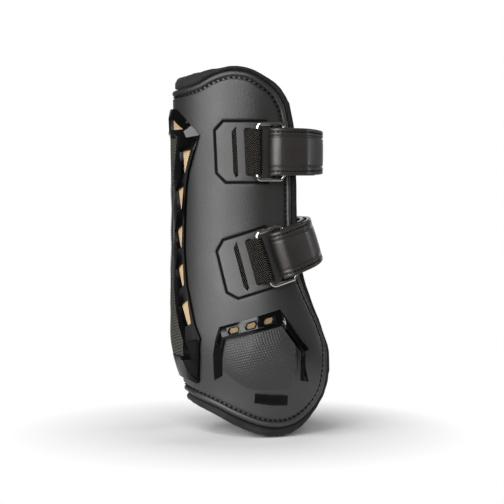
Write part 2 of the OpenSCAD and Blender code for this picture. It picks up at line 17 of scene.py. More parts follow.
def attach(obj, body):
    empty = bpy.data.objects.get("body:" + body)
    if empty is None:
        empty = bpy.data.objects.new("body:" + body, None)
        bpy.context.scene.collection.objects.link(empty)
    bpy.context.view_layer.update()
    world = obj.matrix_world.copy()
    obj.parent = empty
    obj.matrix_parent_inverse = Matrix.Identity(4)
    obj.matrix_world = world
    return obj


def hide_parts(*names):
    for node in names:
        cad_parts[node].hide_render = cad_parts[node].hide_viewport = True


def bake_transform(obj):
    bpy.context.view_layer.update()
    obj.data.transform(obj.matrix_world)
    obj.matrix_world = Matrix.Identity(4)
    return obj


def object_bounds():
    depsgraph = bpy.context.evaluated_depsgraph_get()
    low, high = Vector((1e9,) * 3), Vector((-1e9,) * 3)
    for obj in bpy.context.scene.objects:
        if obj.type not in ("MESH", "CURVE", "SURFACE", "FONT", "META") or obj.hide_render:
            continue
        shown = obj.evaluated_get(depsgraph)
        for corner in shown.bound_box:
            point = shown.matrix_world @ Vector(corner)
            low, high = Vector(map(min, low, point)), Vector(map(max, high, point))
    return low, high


MM = 0.001
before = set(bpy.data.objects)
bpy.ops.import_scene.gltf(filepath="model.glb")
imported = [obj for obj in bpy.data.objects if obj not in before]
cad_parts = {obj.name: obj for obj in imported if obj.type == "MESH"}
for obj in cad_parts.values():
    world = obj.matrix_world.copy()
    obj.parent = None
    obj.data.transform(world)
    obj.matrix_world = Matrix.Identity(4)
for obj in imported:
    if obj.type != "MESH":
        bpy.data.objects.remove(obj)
cad_box = [list(corner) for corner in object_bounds()]
print("solids fill, in mm:", [[round(x / MM, 1) for x in corner] for corner in cad_box])


def in_scene(name, data):
    """A new object that holds the data, linked to the scene."""
    made = bpy.data.objects.new(name, data)
    bpy.context.scene.collection.objects.link(made)
    return made


# %% [markdown]
# ## The camera
# The photograph was taken from the boot's outer side, a little towards the spine and a little above
# level, with a long lens. The camera looks along `view`, and is moved sideways rather than turned, so
# the boot sits where it does in the photograph.

# %% Camera
turn = math.radians(13.3)
rise = math.radians(2.8)
distance = 1.05
aim = Vector((0.004, 0, 0.121))
move_right, move_down = 0.005, 0.0014
view = Vector((math.sin(turn) * math.cos(rise), math.cos(turn) * math.cos(rise), -math.sin(rise)))
right = Vector((math.cos(turn), -math.sin(turn), 0))
up = right.cross(view)
camera = in_scene("camera", bpy.data.cameras.new("camera"))
camera.data.sensor_width = 36
camera.data.lens = 110.2
camera.location = aim - view * distance + right * move_right - up * move_down
camera.rotation_euler = view.to_track_quat("-Z", "Y").to_euler()
bpy.context.scene.camera = camera
print("camera at", [round(x, 3) for x in camera.location])

# %% [markdown]
# ## Light and floor
# Product photographs of black things need large soft lights, because a dark surface shows little but
# what it reflects. A large softbox on the left with a narrow bright core gives the pale band down the
# shell, and a long one overhead picks out the glossy edges. The white background is there for camera,
# mirror and glass rays only, so it shows and is reflected, but doesn't light the boot.

# %% Lamps
lamp_aim = Vector((0, 0, 0.12))


def softbox(name, place, size, watts):
    """A rectangular lamp, width by height in metres, turned towards the boot."""
    lamp = bpy.data.lights.new(name, "AREA")
    lamp.shape = "RECTANGLE"
    lamp.size, lamp.size_y = size
    lamp.energy = watts
    made = in_scene(name, lamp)
    made.location = place
    made.rotation_euler = (lamp_aim - Vector(place)).to_track_quat("-Z", "Y").to_euler()


softbox("key_left", (-0.86, -0.97, 0.4), (1.7, 1.1), 20)
softbox("key_core", (-0.88, -0.88, 0.4), (0.1, 1.0), 3)
softbox("front_fill", (-0.05, -1.3, 0.55), (0.2, 0.7), 4)
softbox("overhead", (-0.62, -0.58, 1.15), (0.95, 0.2), 5)
softbox("spine_fill", (-1.25, -0.2, 0.4), (0.4, 1.1), 3.5)
softbox("rim_right", (1.05, 0.05, 0.3), (0.08, 0.6), 1.6)
softbox("back_fill", (0.3, 1.1, 0.6), (0.9, 0.9), 4)


# %% Node helpers
def linear(code):
    """An sRGB hex colour as linear RGBA."""
    parts = [int(code[i:i + 2], 16) / 255 for i in (1, 3, 5)]
    return (*[c / 12.92 if c <= 0.04045 else ((c + 0.055) / 1.055) ** 2.4 for c in parts], 1)


def add(tree, kind, inputs=None, **settings):
    """A node of that kind with its settings; each input gets a link or a value."""
    node = tree.nodes.new(kind)
    for key, value in settings.items():
        setattr(node, key, value)
    for key, value in (inputs or {}).items():
        if isinstance(value, bpy.types.NodeSocket):
            tree.links.new(value, node.inputs[key])
        else:
            node.inputs[key].default_value = value
    return node


def looking_rays(tree):
    """The Light Path node, and a node that is 1 for camera, mirror and glass rays."""
    path = add(tree, "ShaderNodeLightPath")
    seen = add(tree, "ShaderNodeMath", {0: path.outputs["Is Camera Ray"], 1: path.outputs["Is Glossy Ray"]},
               operation="MAXIMUM")
    seen = add(tree, "ShaderNodeMath", {0: seen.outputs[0], 1: path.outputs["Is Transmission Ray"]},
               operation="MAXIMUM")
    return path, seen


print("mid grey #808080 is", round(linear("#808080")[0], 3), "in linear light")

# %% World
white = (1, 1, 1, 1)
room_light, mirror_room = 0.05, 0.1
backdrop_edge, backdrop_middle = 0.85, 0.97

bpy.context.scene.view_settings.view_transform = "Standard"
world = bpy.data.worlds.new("studio")
bpy.context.scene.world = world
world.use_nodes = True
tree = world.node_tree
tree.nodes.clear()
path, seen = looking_rays(tree)
room = add(tree, "ShaderNodeBackground", {"Color": white, "Strength": room_light})
# A white backdrop behind the boot, and a dim room on the other sides for mirror rays
way = add(tree, "ShaderNodeTexCoord")
ahead = add(tree, "ShaderNodeVectorMath", {0: way.outputs["Generated"], 1: view}, operation="DOT_PRODUCT")
bright = add(tree, "ShaderNodeMapRange",
             {0: ahead.outputs["Value"], 1: backdrop_edge, 2: backdrop_middle, 3: mirror_room, 4: 1.0})
bright = add(tree, "ShaderNodeMath", {0: bright.outputs[0], 1: path.outputs["Is Camera Ray"]},
             operation="MAXIMUM")
backdrop = add(tree, "ShaderNodeBackground", {"Color": white, "Strength": bright.outputs[0]})
both = add(tree, "ShaderNodeMixShader", {0: seen.outputs[0], 1: room.outputs[0], 2: backdrop.outputs[0]})
add(tree, "ShaderNodeOutputWorld", {"Surface": both.outputs[0]})
print("world:", world.name, "with", len(tree.nodes), "nodes")

# %% Floor
shadow_reach, white_reach, floor_reach = 0.06, 0.155, 0.17
floor_gap = 0.0006
paper = bpy.data.materials.new("white_backdrop_paper")
paper.use_nodes = True
tree = paper.node_tree
tree.nodes.clear()
# The paper takes the boot's shadow close by, and turns plain white before its edge
spot = add(tree, "ShaderNodeTexCoord")
reach = add(tree, "ShaderNodeVectorMath", {0: spot.outputs["Object"]}, operation="LENGTH")
far = add(tree, "ShaderNodeMapRange",
          {0: reach.outputs["Value"], 1: shadow_reach, 2: white_reach, 3: 0.0, 4: 1.0})
sheet = add(tree, "ShaderNodeBsdfDiffuse", {"Color": linear("#f4f4f4")})
glow = add(tree, "ShaderNodeEmission", {"Color": white, "Strength": 1.0})
_, seen = looking_rays(tree)
share = add(tree, "ShaderNodeMath", {0: far.outputs[0], 1: seen.outputs[0]}, operation="MULTIPLY")
both = add(tree, "ShaderNodeMixShader", {0: share.outputs[0], 1: sheet.outputs[0], 2: glow.outputs[0]})
add(tree, "ShaderNodeOutputMaterial", {"Surface": both.outputs[0]})

floor_z = cad_box[0][2] - floor_gap
corners = [(x * floor_reach, y * floor_reach, floor_z) for x, y in ((-1, -1), (1, -1), (1, 1), (-1, 1))]
mesh = bpy.data.meshes.new("floor")
mesh.from_pydata(corners, [], [(0, 1, 2, 3)])
mesh.materials.append(paper)
floor = in_scene("floor", mesh)
print("floor at", round(floor_z / MM, 1), "mm")

# %% [markdown]
# ## Materials
# Nearly everything here is black or dark grey, so the pieces are told apart by their surface: satin or
# glossy moulding, grain, knit or weave. Each finish is a Principled shader whose bump and roughness come
# from a pattern, and the pattern's scale is 1 over its size. Pieces cut from the flat pattern carry UVs
# in millimetres, and the other patterns lie on Object coordinates, in metres.

# %% Starting a finish
NOISE, CELLS = "ShaderNodeTexNoise", "ShaderNodeTexVoronoi"


def finish_start(name, colour, **sockets):
    """A new material, its tree, its Principled shader and its texture coordinates."""
    made = bpy.data.materials.new(name)
    made.use_nodes = True
    tree = made.node_tree
    tree.nodes.clear()
    inputs = {key.replace("_", " "): value for key, value in sockets.items()}
    shader = add(tree, "ShaderNodeBsdfPrincipled", {"Base Color": linear(colour), **inputs})
    add(tree, "ShaderNodeOutputMaterial", {"Surface": shader.outputs[0]})
    where = add(tree, "ShaderNodeTexCoord")
    return made, tree, shader, where


def variant(finish, name, **sockets):
    """A copy of a finish with other values on its shader's sockets."""
    made = finish.copy()
    made.name = name
    shader = made.node_tree.nodes["Principled BSDF"]
    for key, value in sockets.items():
        shader.inputs[key.replace("_", " ")].default_value = value
    return made


def grained(tree, shader, where, kind, size, strength, depth, **inputs):
    """Bumps a finish with a pattern of noise or cells; size and depth are in millimetres."""
    pattern = add(tree, kind, {"Vector": where.outputs["Object"], "Scale": 1 / (size * MM), **inputs})
    bump = add(tree, "ShaderNodeBump",
               {"Height": pattern.outputs[0], "Strength": strength, "Distance": depth * MM})
    tree.links.new(bump.outputs[0], shader.inputs["Normal"])


def cloudy(tree, where, size, detail, low, high):
    """An output that drifts between low and high over patches of that size, in millimetres."""
    patches = add(tree, NOISE,
                  {"Vector": where.outputs["Object"], "Scale": 1 / (size * MM), "Detail": detail})
    drift = add(tree, "ShaderNodeMapRange", {0: patches.outputs["Fac"], 1: 0.3, 2: 0.7, 3: low, 4: high})
    return drift.outputs[0]


def lattice(tree, where, pitch, turn=0.0):
    """Distances across and along from the lines of a square lattice on the UVs, 0 to 0.5 of its pitch."""
    cell = add(tree, "ShaderNodeMapping", {"Vector": where.outputs["UV"], "Scale": (1 / pitch, 1 / pitch, 1),
                                           "Rotation": (0, 0, turn)})
    axes = add(tree, "ShaderNodeSeparateXYZ", {0: cell.outputs[0]})
    sides = [add(tree, "ShaderNodeMath", {0: axes.outputs[k], 1: 0.5}, operation="PINGPONG") for k in "XY"]
    return [side.outputs[0] for side in sides]


# %% Satin and glossy mouldings
# Thermoplastic polyurethane moulded against a finely blasted steel mould: dark grey, satin, with a
# fine grain. The photograph doesn't resolve it, so it is taken as 0.5 mm, and drawn at 1.6 mm to show.
satin_tpu, tree, shader, where = finish_start("satin_moulded_tpu", "#1d1d1c", Specular_IOR_Level=0.8)
grained(tree, shader, where, NOISE, size=1.6, strength=0.5, depth=0.2, Detail=3.0)
rough = cloudy(tree, where, size=35, detail=2.0, low=0.43, high=0.51)
tree.links.new(rough, shader.inputs["Roughness"])

# Strap panels, separate pieces, get a paler copy of it: painted light, as their flatter faces catch more
# light.
lit_panel_tpu = variant(satin_tpu, "painted_light_panel_tpu", Base_Color=linear("#2c2c2b"))

# The same plastic, matt and near black, in the bottom of grooves and deep recesses: painted shade.
recess_shade_tpu, tree, shader, where = finish_start("painted_recess_shade_tpu", "#111111", Roughness=0.8,
                                               Specular_IOR_Level=0.1)
grained(tree, shader, where, NOISE, size=0.9, strength=0.2, depth=0.2, Detail=2.0)

# The same plastic against a polished mould: near black, with the slight waviness of a thick moulding.
gloss_tpu, tree, shader, where = finish_start("gloss_moulded_tpu", "#030304", Roughness=0.08,
                                              Specular_IOR_Level=0.32)
grained(tree, shader, where, NOISE, size=12, strength=0.12, depth=0.6, Detail=1.0)

# Painted shade, a copy with weaker reflection: the spine frame below its arrow, vent walls, fetlock legs and
# ribs.
painted_shade_gloss_tpu = variant(gloss_tpu, "painted_shade_gloss_tpu", Roughness=0.2, Specular_IOR_Level=0.12)

# Strike faces are moulded with rows of small pyramids, whose tips wear paler. `ridge` on the mesh says how
# much of the relief is there, so that it runs out towards the edge.
row_slant = math.radians(-14)


def pyramid_finish(name, colour, tip_colour, pitch, depth, **sockets):
    """Moulded pyramids, with their pitch and the bump's depth in millimetres."""
    made, tree, shader, where = finish_start(name, colour, **sockets)
    side_x, side_y = lattice(tree, where, pitch, row_slant)
    peak = add(tree, "ShaderNodeMath", {0: side_x, 1: side_y}, operation="MINIMUM")
    ridge = add(tree, "ShaderNodeAttribute", attribute_name="ridge")
    height = add(tree, "ShaderNodeMath", {0: peak.outputs[0], 1: ridge.outputs["Fac"]}, operation="MULTIPLY")
    worn = add(tree, "ShaderNodeMapRange", {0: height.outputs[0], 1: 0.15, 2: 0.4, 3: 0.0, 4: 1.0})
    mixed = add(tree, "ShaderNodeMix", {0: worn.outputs[0], 6: linear(colour), 7: linear(tip_colour)},
                data_type="RGBA")
    tree.links.new(mixed.outputs[2], shader.inputs["Base Color"])
    bump = add(tree, "ShaderNodeBump", {"Height": height.outputs[0], "Strength": 0.6, "Distance": depth * MM})
    tree.links.new(bump.outputs[0], shader.inputs["Normal"])
    return made


# The pyramids are drawn coarse enough to show.
pyramid_tpu = pyramid_finish("pyramid_moulded_tpu", "#1b1b1a", "#262625", pitch=1.6, depth=1,
                             Roughness=0.42, Specular_IOR_Level=0.7)
# The plate on the spine is dull, and is seen at a slant, so its pyramids are coarser still.
plate_tpu = pyramid_finish("dull_pyramid_tpu", "#2b2a27", "#625f57", pitch=1.9, depth=2,
                           Roughness=0.6, Specular_IOR_Level=0.2)
print("mouldings:", satin_tpu.name, gloss_tpu.name, pyramid_tpu.name)

# %% [markdown]
# ### Cloth
# The vents are backed with tan mesh, the tabs are elastic webbing, and the lining is neoprene with a knitted
# face. A weave follows the cloth, so the mesh and the webbing are drawn on the UVs with a few Math nodes:
# Ping-Pong folds a coordinate back and forth, which gives holes or a zigzag. A knit or a nap shows no
# direction at this distance, so noise and cells on Object coordinates do for them.

# %% Woven and knitted goods
# Tan spacer mesh behind the vents: matte polyester yarn in a square weave, with a small dark hole every
# 1.3 mm.
tan_mesh, tree, shader, where = finish_start("tan_spacer_mesh", "#c7a675", Roughness=0.8)
mesh_pitch = 1.3
side_x, side_y = lattice(tree, where, mesh_pitch)
hole = add(tree, "ShaderNodeMath", {0: side_x, 1: side_y}, operation="MULTIPLY")
shade = add(tree, "ShaderNodeValToRGB", {0: hole.outputs[0]})
for stop, position, colour in zip(shade.color_ramp.elements, (0.05, 0.21), ("#c0a47c", "#80684a")):
    stop.position = position
    stop.color = linear(colour)
tree.links.new(shade.outputs[0], shader.inputs["Base Color"])
bump = add(tree, "ShaderNodeBump", {"Height": hole.outputs[0], "Strength": 0.7, "Distance": 0.6 * MM},
           invert=True)
tree.links.new(bump.outputs[0], shader.inputs["Normal"])

# A darker copy of the same cloth for the fetlock's small vents, which lie deep: painted shade.
shaded_mesh = variant(tan_mesh, "painted_shade_spacer_mesh")
for stop, colour in zip(shaded_mesh.node_tree.nodes["Color Ramp"].color_ramp.elements, ("#8f7956", "#4e3f2b")):
    stop.color = linear(colour)

# Elastic webbing: black yarn woven in a herringbone, whose slanting floats turn round every 3.6 mm.
# The yarn is drawn 1.6 mm apart, coarser than such webbing has it, so that it shows.
float_run, yarn_pitch = 3.6, 1.6
webbing, tree, shader, where = finish_start("herringbone_webbing", "#161617", Roughness=0.7,
                                            Specular_IOR_Level=0.06)
axes = add(tree, "ShaderNodeSeparateXYZ", {0: where.outputs["UV"]})
zigzag = add(tree, "ShaderNodeMath", {0: axes.outputs["X"], 1: float_run}, operation="PINGPONG")
slant = add(tree, "ShaderNodeMath", {0: zigzag.outputs[0], 1: axes.outputs["Y"]}, operation="ADD")
turns = add(tree, "ShaderNodeMath", {0: slant.outputs[0], 1: 2 * math.pi / yarn_pitch}, operation="MULTIPLY")
yarn = add(tree, "ShaderNodeMath", {0: turns.outputs[0]}, operation="SINE")
shade = add(tree, "ShaderNodeMapRange", {0: yarn.outputs[0], 1: 0.7, 2: 1.0, 3: 0.0, 4: 1.0})
mixed = add(tree, "ShaderNodeMix", {0: shade.outputs[0], 6: linear("#010101"), 7: linear("#5c5852")},
            data_type="RGBA")
tree.links.new(mixed.outputs[2], shader.inputs["Base Color"])
bump = add(tree, "ShaderNodeBump", {"Height": yarn.outputs[0], "Strength": 0.8, "Distance": 0.5 * MM})
tree.links.new(bump.outputs[0], shader.inputs["Normal"])

# Neoprene faced with knitted nylon: black, dull, with the fine roughness of its stitches.
neoprene, tree, shader, where = finish_start("knit_faced_neoprene", "#1b1b1d", Roughness=0.7,
                                             Specular_IOR_Level=0.15, Sheen_Weight=0.08,
                                             Sheen_Roughness=0.4)
grained(tree, shader, where, NOISE, size=0.7, strength=0.5, depth=0.3, Detail=2.0)
worn = cloudy(tree, where, size=20, detail=3.0, low=0.0, high=1.0)
mixed = add(tree, "ShaderNodeMix", {0: worn, 6: linear("#1c1c1d"), 7: linear("#2a2a2b")}, data_type="RGBA")
tree.links.new(mixed.outputs[2], shader.inputs["Base Color"])

# Closed-cell foam between the shell and the lining.
foam, tree, shader, where = finish_start("closed_cell_foam", "#242426", Roughness=0.9)
grained(tree, shader, where, CELLS, size=0.8, strength=0.4, depth=0.3)

# Hook and loop tape: a dense nap of nylon fibre.
fibre_tape, tree, shader, where = finish_start("hook_and_loop_nylon", "#121213", Roughness=0.85,
                                               Sheen_Weight=0.4)
grained(tree, shader, where, CELLS, size=0.9, strength=1.0, depth=0.6)
print("cloth:", tan_mesh.name, webbing.name, neoprene.name, fibre_tape.name)

# %% [markdown]
# ### Leather, steel and thread
# The straps are grained synthetic leather, the rings are polished wire and the stitches are nylon. Under
# soft lights they differ in how wide and how even their highlights are, so on the leather and the steel the
# roughness drifts over patches, as handling leaves it, where one number would look new and painted.

# %% Strap leather, ring steel and thread
# Straps are synthetic leather: polyurethane skin on cloth, brownish black, with a pebble grain. It is
# taken as 0.8 mm, as on such leather, and drawn at 1.1 mm so that it shows.
strap_leather, tree, shader, where = finish_start("synthetic_strap_leather", "#25201e",
                                                  Specular_IOR_Level=0.85)
grained(tree, shader, where, CELLS, size=1.1, strength=0.16, depth=0.3)
rough = cloudy(tree, where, size=15, detail=3.0, low=0.38, high=0.52)
tree.links.new(rough, shader.inputs["Roughness"])

# Rings are bent from round steel wire, plated black nickel and polished.
ring_steel, tree, shader, where = finish_start("black_nickel_steel", "#c2beb7", Metallic=1.0)
rough = cloudy(tree, where, size=4, detail=3.0, low=0.1, high=0.18)
tree.links.new(rough, shader.inputs["Roughness"])

# Bonded nylon thread, laid in stitches: black with a soft shine.
thread, tree, shader, where = finish_start("bonded_nylon_thread", "#060606", Roughness=0.5,
                                           Specular_IOR_Level=0.15)
grained(tree, shader, where, NOISE, size=0.4, strength=0.5, depth=0.2, Detail=1.0)
print("fittings:", strap_leather.name, ring_steel.name, thread.name)

# %% [markdown]
# ## The boot's form
# The boot is drawn as its maker would cut it: flat, with w the distance round from the spine line, z the
# height and h the height above the shell's outer face, in millimetres. `wrap` lays any such point round
# the leg, whose sections are ellipses with straight sides towards the front, so grooves, plates and
# stitches can all be drawn flat.

# %% Wrapping the flat pattern round the leg
cannon_depth, cannon_width = 85.5, 78.0
fetlock_depth, fetlock_width = 112.0, 94.0
fetlock_z, waist_z, boot_height = 58.0, 146.0, 242.0
top_flare, heel_tuck, foot_tuck = 4.5, 7.5, 17.0
spine_swell, heel_low, heel_over = 1.5, 22, 8
wing_degrees, wing_turn = 100, 32


def smooth(t):
    """A soft step from 0 to 1."""
    t = np.clip(t, 0, 1)
    return t * t * (3 - 2 * t)


def ramp(z, low, high):
    """A soft step from 0 at height low to 1 at height high."""
    return smooth((z - low) / (high - low))


def unit(vectors):
    """The same directions with length 1."""
    return vectors / np.linalg.norm(vectors, axis=-1, keepdims=True)


def section(z):
    """Half depth, half width and the spine's x at height z."""
    swell = 1 - ramp(z, fetlock_z, waist_z)
    flare = top_flare * ramp(z, waist_z, boot_height)
    tuck = 1 - ramp(z, 0, fetlock_z)
    heel = 1 - ramp(z, heel_low, fetlock_z + heel_over)
    depth = cannon_depth + (fetlock_depth - cannon_depth) * swell + flare - foot_tuck * tuck
    width = cannon_width + (fetlock_width - cannon_width) * swell + flare - foot_tuck * tuck
    back = -cannon_depth / 2 - flare / 2 - spine_swell * swell + heel_tuck * heel
    return depth / 2, width / 2, back


def on_section(angle, z, h):
    """Points of the section at height z, at an angle from the spine and h outside the shell."""
    a, b, back = section(z)
    x = back + a - (a + h) * np.cos(angle)
    y = -(b + h) * np.sin(angle)
    return np.stack(np.broadcast_arrays(x, y, z), -1)


def wing_start(z):
    """Angle from the spine beyond which the sides run straight forward."""
    return np.radians(wing_degrees + wing_turn * (1 - ramp(z, fetlock_z, waist_z)))


def wrap(spots, h):
    """Points (w, z) of the flat pattern at height h as points round the leg, in metres."""
    spots = np.asarray(spots, float)
    w, z, h = np.broadcast_arrays(spots[..., 0], spots[..., 1], np.asarray(h, float))
    a, b, _ = section(z)
    angle, start = 2 * np.abs(w) / (a + b), wing_start(z)
    ahead = unit(np.stack([a * np.sin(start), -b * np.cos(start), 0 * z], -1))
    over = np.maximum(0, angle - start) * (a + b) / 2
    points = on_section(np.minimum(angle, start), z, h) + over[..., None] * ahead
    points[..., 1] *= np.where(w < 0, -1, 1)
    return points * MM


print("half way up the spine:", wrap((0, boot_height / 2), 0).round(4))

# %% Rim of the shell
rim_top = np.array([[0, 228.5], [15, 229], [29.5, 231.5], [42, 237], [54, 240], [66, 238.5], [76, 233],
                    [84, 226.5], [89.5, 217]])
rim_bottom = np.array([[0, 26], [17, 23.5], [34, 19], [49.5, 12], [64.5, 6], [80, 5], [95, 11],
                       [109, 23.5], [119, 42]])
front_w = np.array([119, 122.5, 117, 109, 102, 97, 93.5, 92, 92, 92, 92, 92, 89.5])
rim_front = np.stack([front_w, np.linspace(rim_bottom[-1, 1], rim_top[-1, 1], len(front_w))], -1)
collar_reach, top_reach, bottom_reach, front_reach = 9.5, 2.5, 6.5, 5.5


def spline(p, t):
    """The point at share t of a smooth curve through the points p."""
    n = len(p) - 1
    k = min(int(t * n), n - 1)
    f = t * n - k
    a, b, c, d = p[max(k - 1, 0)], p[k], p[k + 1], p[min(k + 2, n)]
    square, cube = 2 * a - 5 * b + 4 * c - d, 3 * b - a - 3 * c + d
    return 0.5 * (2 * b + (c - a) * f + square * f * f + cube * f ** 3)


def rim_point(rim, outward, a, reach):
    """Rim point at share a from spine to front, moved outwards on the pattern."""
    d = spline(rim, min(1, a + 0.004)) - spline(rim, max(0, a - 0.004))
    side = np.array([0, outward]) if a == 0 else np.array([-d[1], d[0]]) * outward / np.hypot(*d)
    return spline(rim, a) + reach * side


def reach_at(a, spine, side, front):
    """A reach past the rim that changes from the spine to the side and on to the front edge."""
    reach = spine + (side - spine) * smooth((a - 0.2) / 0.25)
    return reach + (front - reach) * smooth((a - 0.6) / 0.4)


def layer_point(a, t, collar, top, bottom, front):
    """Point of a layer at share a from spine to front and share t up, with its reaches past the rim."""
    low = rim_point(rim_bottom, -1, a, reach_at(a, bottom, bottom, front))
    high = rim_point(rim_top, 1, a, reach_at(a, collar, top, front))
    bow = spline(rim_front, t) - rim_front[0] - (rim_front[-1] - rim_front[0]) * t
    return low + (high - low) * t + a * a * bow


def rim_loop(reach, columns=56, rows=34):
    """The whole rim, moved outwards by reach, as one closed loop of pattern points."""
    half = [rim_point(rim_bottom, -1, i / columns, reach) for i in range(columns)]
    half += [layer_point(1, j / rows, reach, reach, reach, reach) for j in range(rows + 1)]
    half += [rim_point(rim_top, 1, i / columns, reach) for i in range(columns - 1, -1, -1)]
    other = [p * (-1, 1) for p in half[-2:0:-1]]
    return np.array(half + other)


edge = rim_loop(0)
print("rim is", round(float(np.linalg.norm(edge - np.roll(edge, -1, 0), axis=1).sum())), "mm round")

# %% [markdown]
# ## Turning drawings into pieces
# Three small makers do most of the work. `piece` makes an object from points and faces. `cut_sheet` fills
# outlines with triangles, as for a panel cut with grooves and holes. `plate` makes a solid from a grid of
# pattern points, as for a faceted moulding.

# %% A piece from points and faces
def piece(name, points, faces, finish, uv=None, sharp=32):
    """An object at the origin with smooth faces and sharp corners; uv is one pair for each point."""
    mesh = bpy.data.meshes.new(name)
    mesh.from_pydata(np.asarray(points, float).tolist(), [], faces)
    if uv is not None:
        layer = mesh.uv_layers.new(name="pattern")
        corner = np.zeros(len(mesh.loops), int)
        mesh.loops.foreach_get("vertex_index", corner)
        layer.data.foreach_set("uv", np.asarray(uv, np.float32)[corner].ravel())
    mesh.materials.append(finish)
    mesh.shade_smooth()
    mesh.set_sharp_from_angle(angle=math.radians(sharp))
    return in_scene(name, mesh)


# %% A sheet cut from outlines
def inside(points, outline):
    """Which pattern points lie inside an outline."""
    x, y = points[:, 0], points[:, 1]
    found = np.zeros(len(points), bool)
    for (x0, y0), (x1, y1) in zip(outline, np.roll(outline, -1, 0)):
        crosses = (y0 > y) != (y1 > y)
        found ^= crosses & (x < (x1 - x0) * (y - y0) / (y1 - y0 + 1e-12) + x0)
    return found


def cut_sheet(name, loops, fill, low, finish, holes=(), groove=None):
    """A solid from outlines with a height each, and points between them, down to low.

    The first outline is its edge. Top faces lower than groove get the near-black finish of painted shade.
    """
    flat = np.vstack([points for points, _ in loops] + [fill[:, :2]])
    height = np.concatenate([np.broadcast_to(h, len(points)) for points, h in loops] + [fill[:, 2]])
    edges, first = [], 0
    for points, _ in loops:
        n = len(points)
        edges += [(first + i, first + (i + 1) % n) for i in range(n)]
        first += n
    spots, _, faces, origin, _, _ = geometry.delaunay_2d_cdt([Vector(p) for p in flat], edges, [], 1, 1e-5)
    spots = np.array([list(p) for p in spots])
    top = np.array([height[o[0]] for o in origin])
    faces = np.array([list(f) for f in faces])
    middle = spots[faces].mean(1)
    keep = inside(middle, loops[0][0])
    for hole in holes:
        keep &= ~inside(middle, hole)
    faces = faces[keep]
    a, b, c = (spots[faces[:, k]] for k in range(3))
    turned = (b[:, 0] - a[:, 0]) * (c[:, 1] - a[:, 1]) < (b[:, 1] - a[:, 1]) * (c[:, 0] - a[:, 0])
    faces[turned] = faces[turned][:, ::-1]
    n = len(spots)
    sides = {(f[k], f[(k + 1) % 3]) for f in faces.tolist() for k in range(3)}
    walls = [(q, p, p + n, q + n) for p, q in sides if (q, p) not in sides]
    points = np.vstack([wrap(spots, top), wrap(spots, np.minimum(low, top - 0.05))])
    solid = [tuple(f) for f in faces.tolist()] + [tuple(f[::-1] + n) for f in faces] + walls
    made = piece(name, points, solid, finish, np.vstack([spots, spots]))
    # Painted shade: top faces low in a groove take the near-black finish
    if groove is not None:
        made.data.materials.append(recess_shade_tpu)
        dark = (top[faces].mean(1) < groove).astype(int).tolist()
        made.data.polygons.foreach_set("material_index", dark + [0] * (len(solid) - len(dark)))
    return made


# %% A plate from a grid
def finer(grid, across, along):
    """A grid of numbers with more rows and columns, filled in straight lines."""
    n, m = grid.shape
    x = np.linspace(0, n - 1, (n - 1) * across + 1)
    y = np.linspace(0, m - 1, (m - 1) * along + 1)
    wide = np.array([np.interp(x, np.arange(n), grid[:, j]) for j in range(m)]).T
    return np.array([np.interp(y, np.arange(m), row) for row in wide])


def plate(name, spots, top, low, finish, keep=None, across=1, along=1, sharp=18):
    """A solid between a grid of pattern points at height top and the same at low.

    w grows with the grid's first index. Cells that keep leaves out are open, and across and along say
    into how many parts each cell is cut.
    """
    n, m = spots.shape[:2]
    keep = np.ones((n - 1, m - 1), bool) if keep is None else keep
    grids = [np.broadcast_to(g, (n, m)).astype(float) for g in (spots[..., 0], spots[..., 1], top, low)]
    w, z, top, low = (finer(grid, across, along) for grid in grids)
    keep = np.repeat(np.repeat(keep, across, 0), along, 1)
    n, m = keep.shape
    at = np.arange((n + 1) * (m + 1)).reshape(n + 1, m + 1)
    below = at.size
    faces = []
    for i in range(n):
        for j in range(m):
            if not keep[i, j]:
                continue
            a, b, c, d = (int(q) for q in (at[i, j], at[i + 1, j], at[i + 1, j + 1], at[i, j + 1]))
            faces += [(a, b, c, d), (d + below, c + below, b + below, a + below)]
            for i2, j2, p, q in ((i, j - 1, a, b), (i + 1, j, b, c), (i, j + 1, c, d), (i - 1, j, d, a)):
                if not (0 <= i2 < n and 0 <= j2 < m and keep[i2, j2]):
                    faces.append((q, p, p + below, q + below))
    uv = np.stack([w, z], -1)
    points = np.vstack([wrap(uv, h).reshape(-1, 3) for h in (top, low)])
    made = piece(name, points, faces, finish, np.tile(uv.reshape(-1, 2), (2, 1)), sharp)
    # Points that only open cells had are dropped
    work = bmesh.new()
    work.from_mesh(made.data)
    bmesh.ops.delete(work, geom=[v for v in work.verts if not v.link_faces], context="VERTS")
    work.to_mesh(made.data)
    work.free()
    return made


# %% Finishing a piece
def mirrored(made, name):
    """The other side's copy of a piece, its faces turned the right way out."""
    mesh = made.data.copy()
    mesh.transform(Matrix.Scale(-1, 4, (0, 1, 0)))
    mesh.flip_normals()
    other = in_scene(name, mesh)
    for old in made.modifiers:
        new = other.modifiers.new(old.name, old.type)
        for key in ("width", "segments", "limit_method", "angle_limit", "harden_normals"):
            setattr(new, key, getattr(old, key))
    return other


def soften(made, width):
    """Rounds a moulding's corners by width, in millimetres."""
    round_off = made.modifiers.new("moulded_radius", "BEVEL")
    round_off.width = width * MM
    round_off.segments = 2
    round_off.limit_method = "ANGLE"
    round_off.angle_limit = math.radians(20)
    round_off.harden_normals = True


def shade_below(made, z):
    """Gives a glossy moulding's faces below height z, in millimetres, the darker copy: painted shade."""
    made.data.materials.append(painted_shade_gloss_tpu)
    low = [int(face.center.z < z * MM) for face in made.data.polygons]
    made.data.polygons.foreach_set("material_index", low)


def set_ridge(made, values):
    """How much of the pyramids' relief each point has."""
    ridge = made.data.attributes.new("ridge", "FLOAT", "POINT")
    ridge.data.foreach_set("value", np.asarray(values, np.float32))


def seat(made, body, slot, *nodes):
    """Puts a piece on its body, in place of the nodes that it stands for; slot is not used."""
    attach(made, body)
    if nodes:
        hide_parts(*nodes)
    print(made.name, "rides on", body, "with", len(made.data.polygons), "faces")
    return made


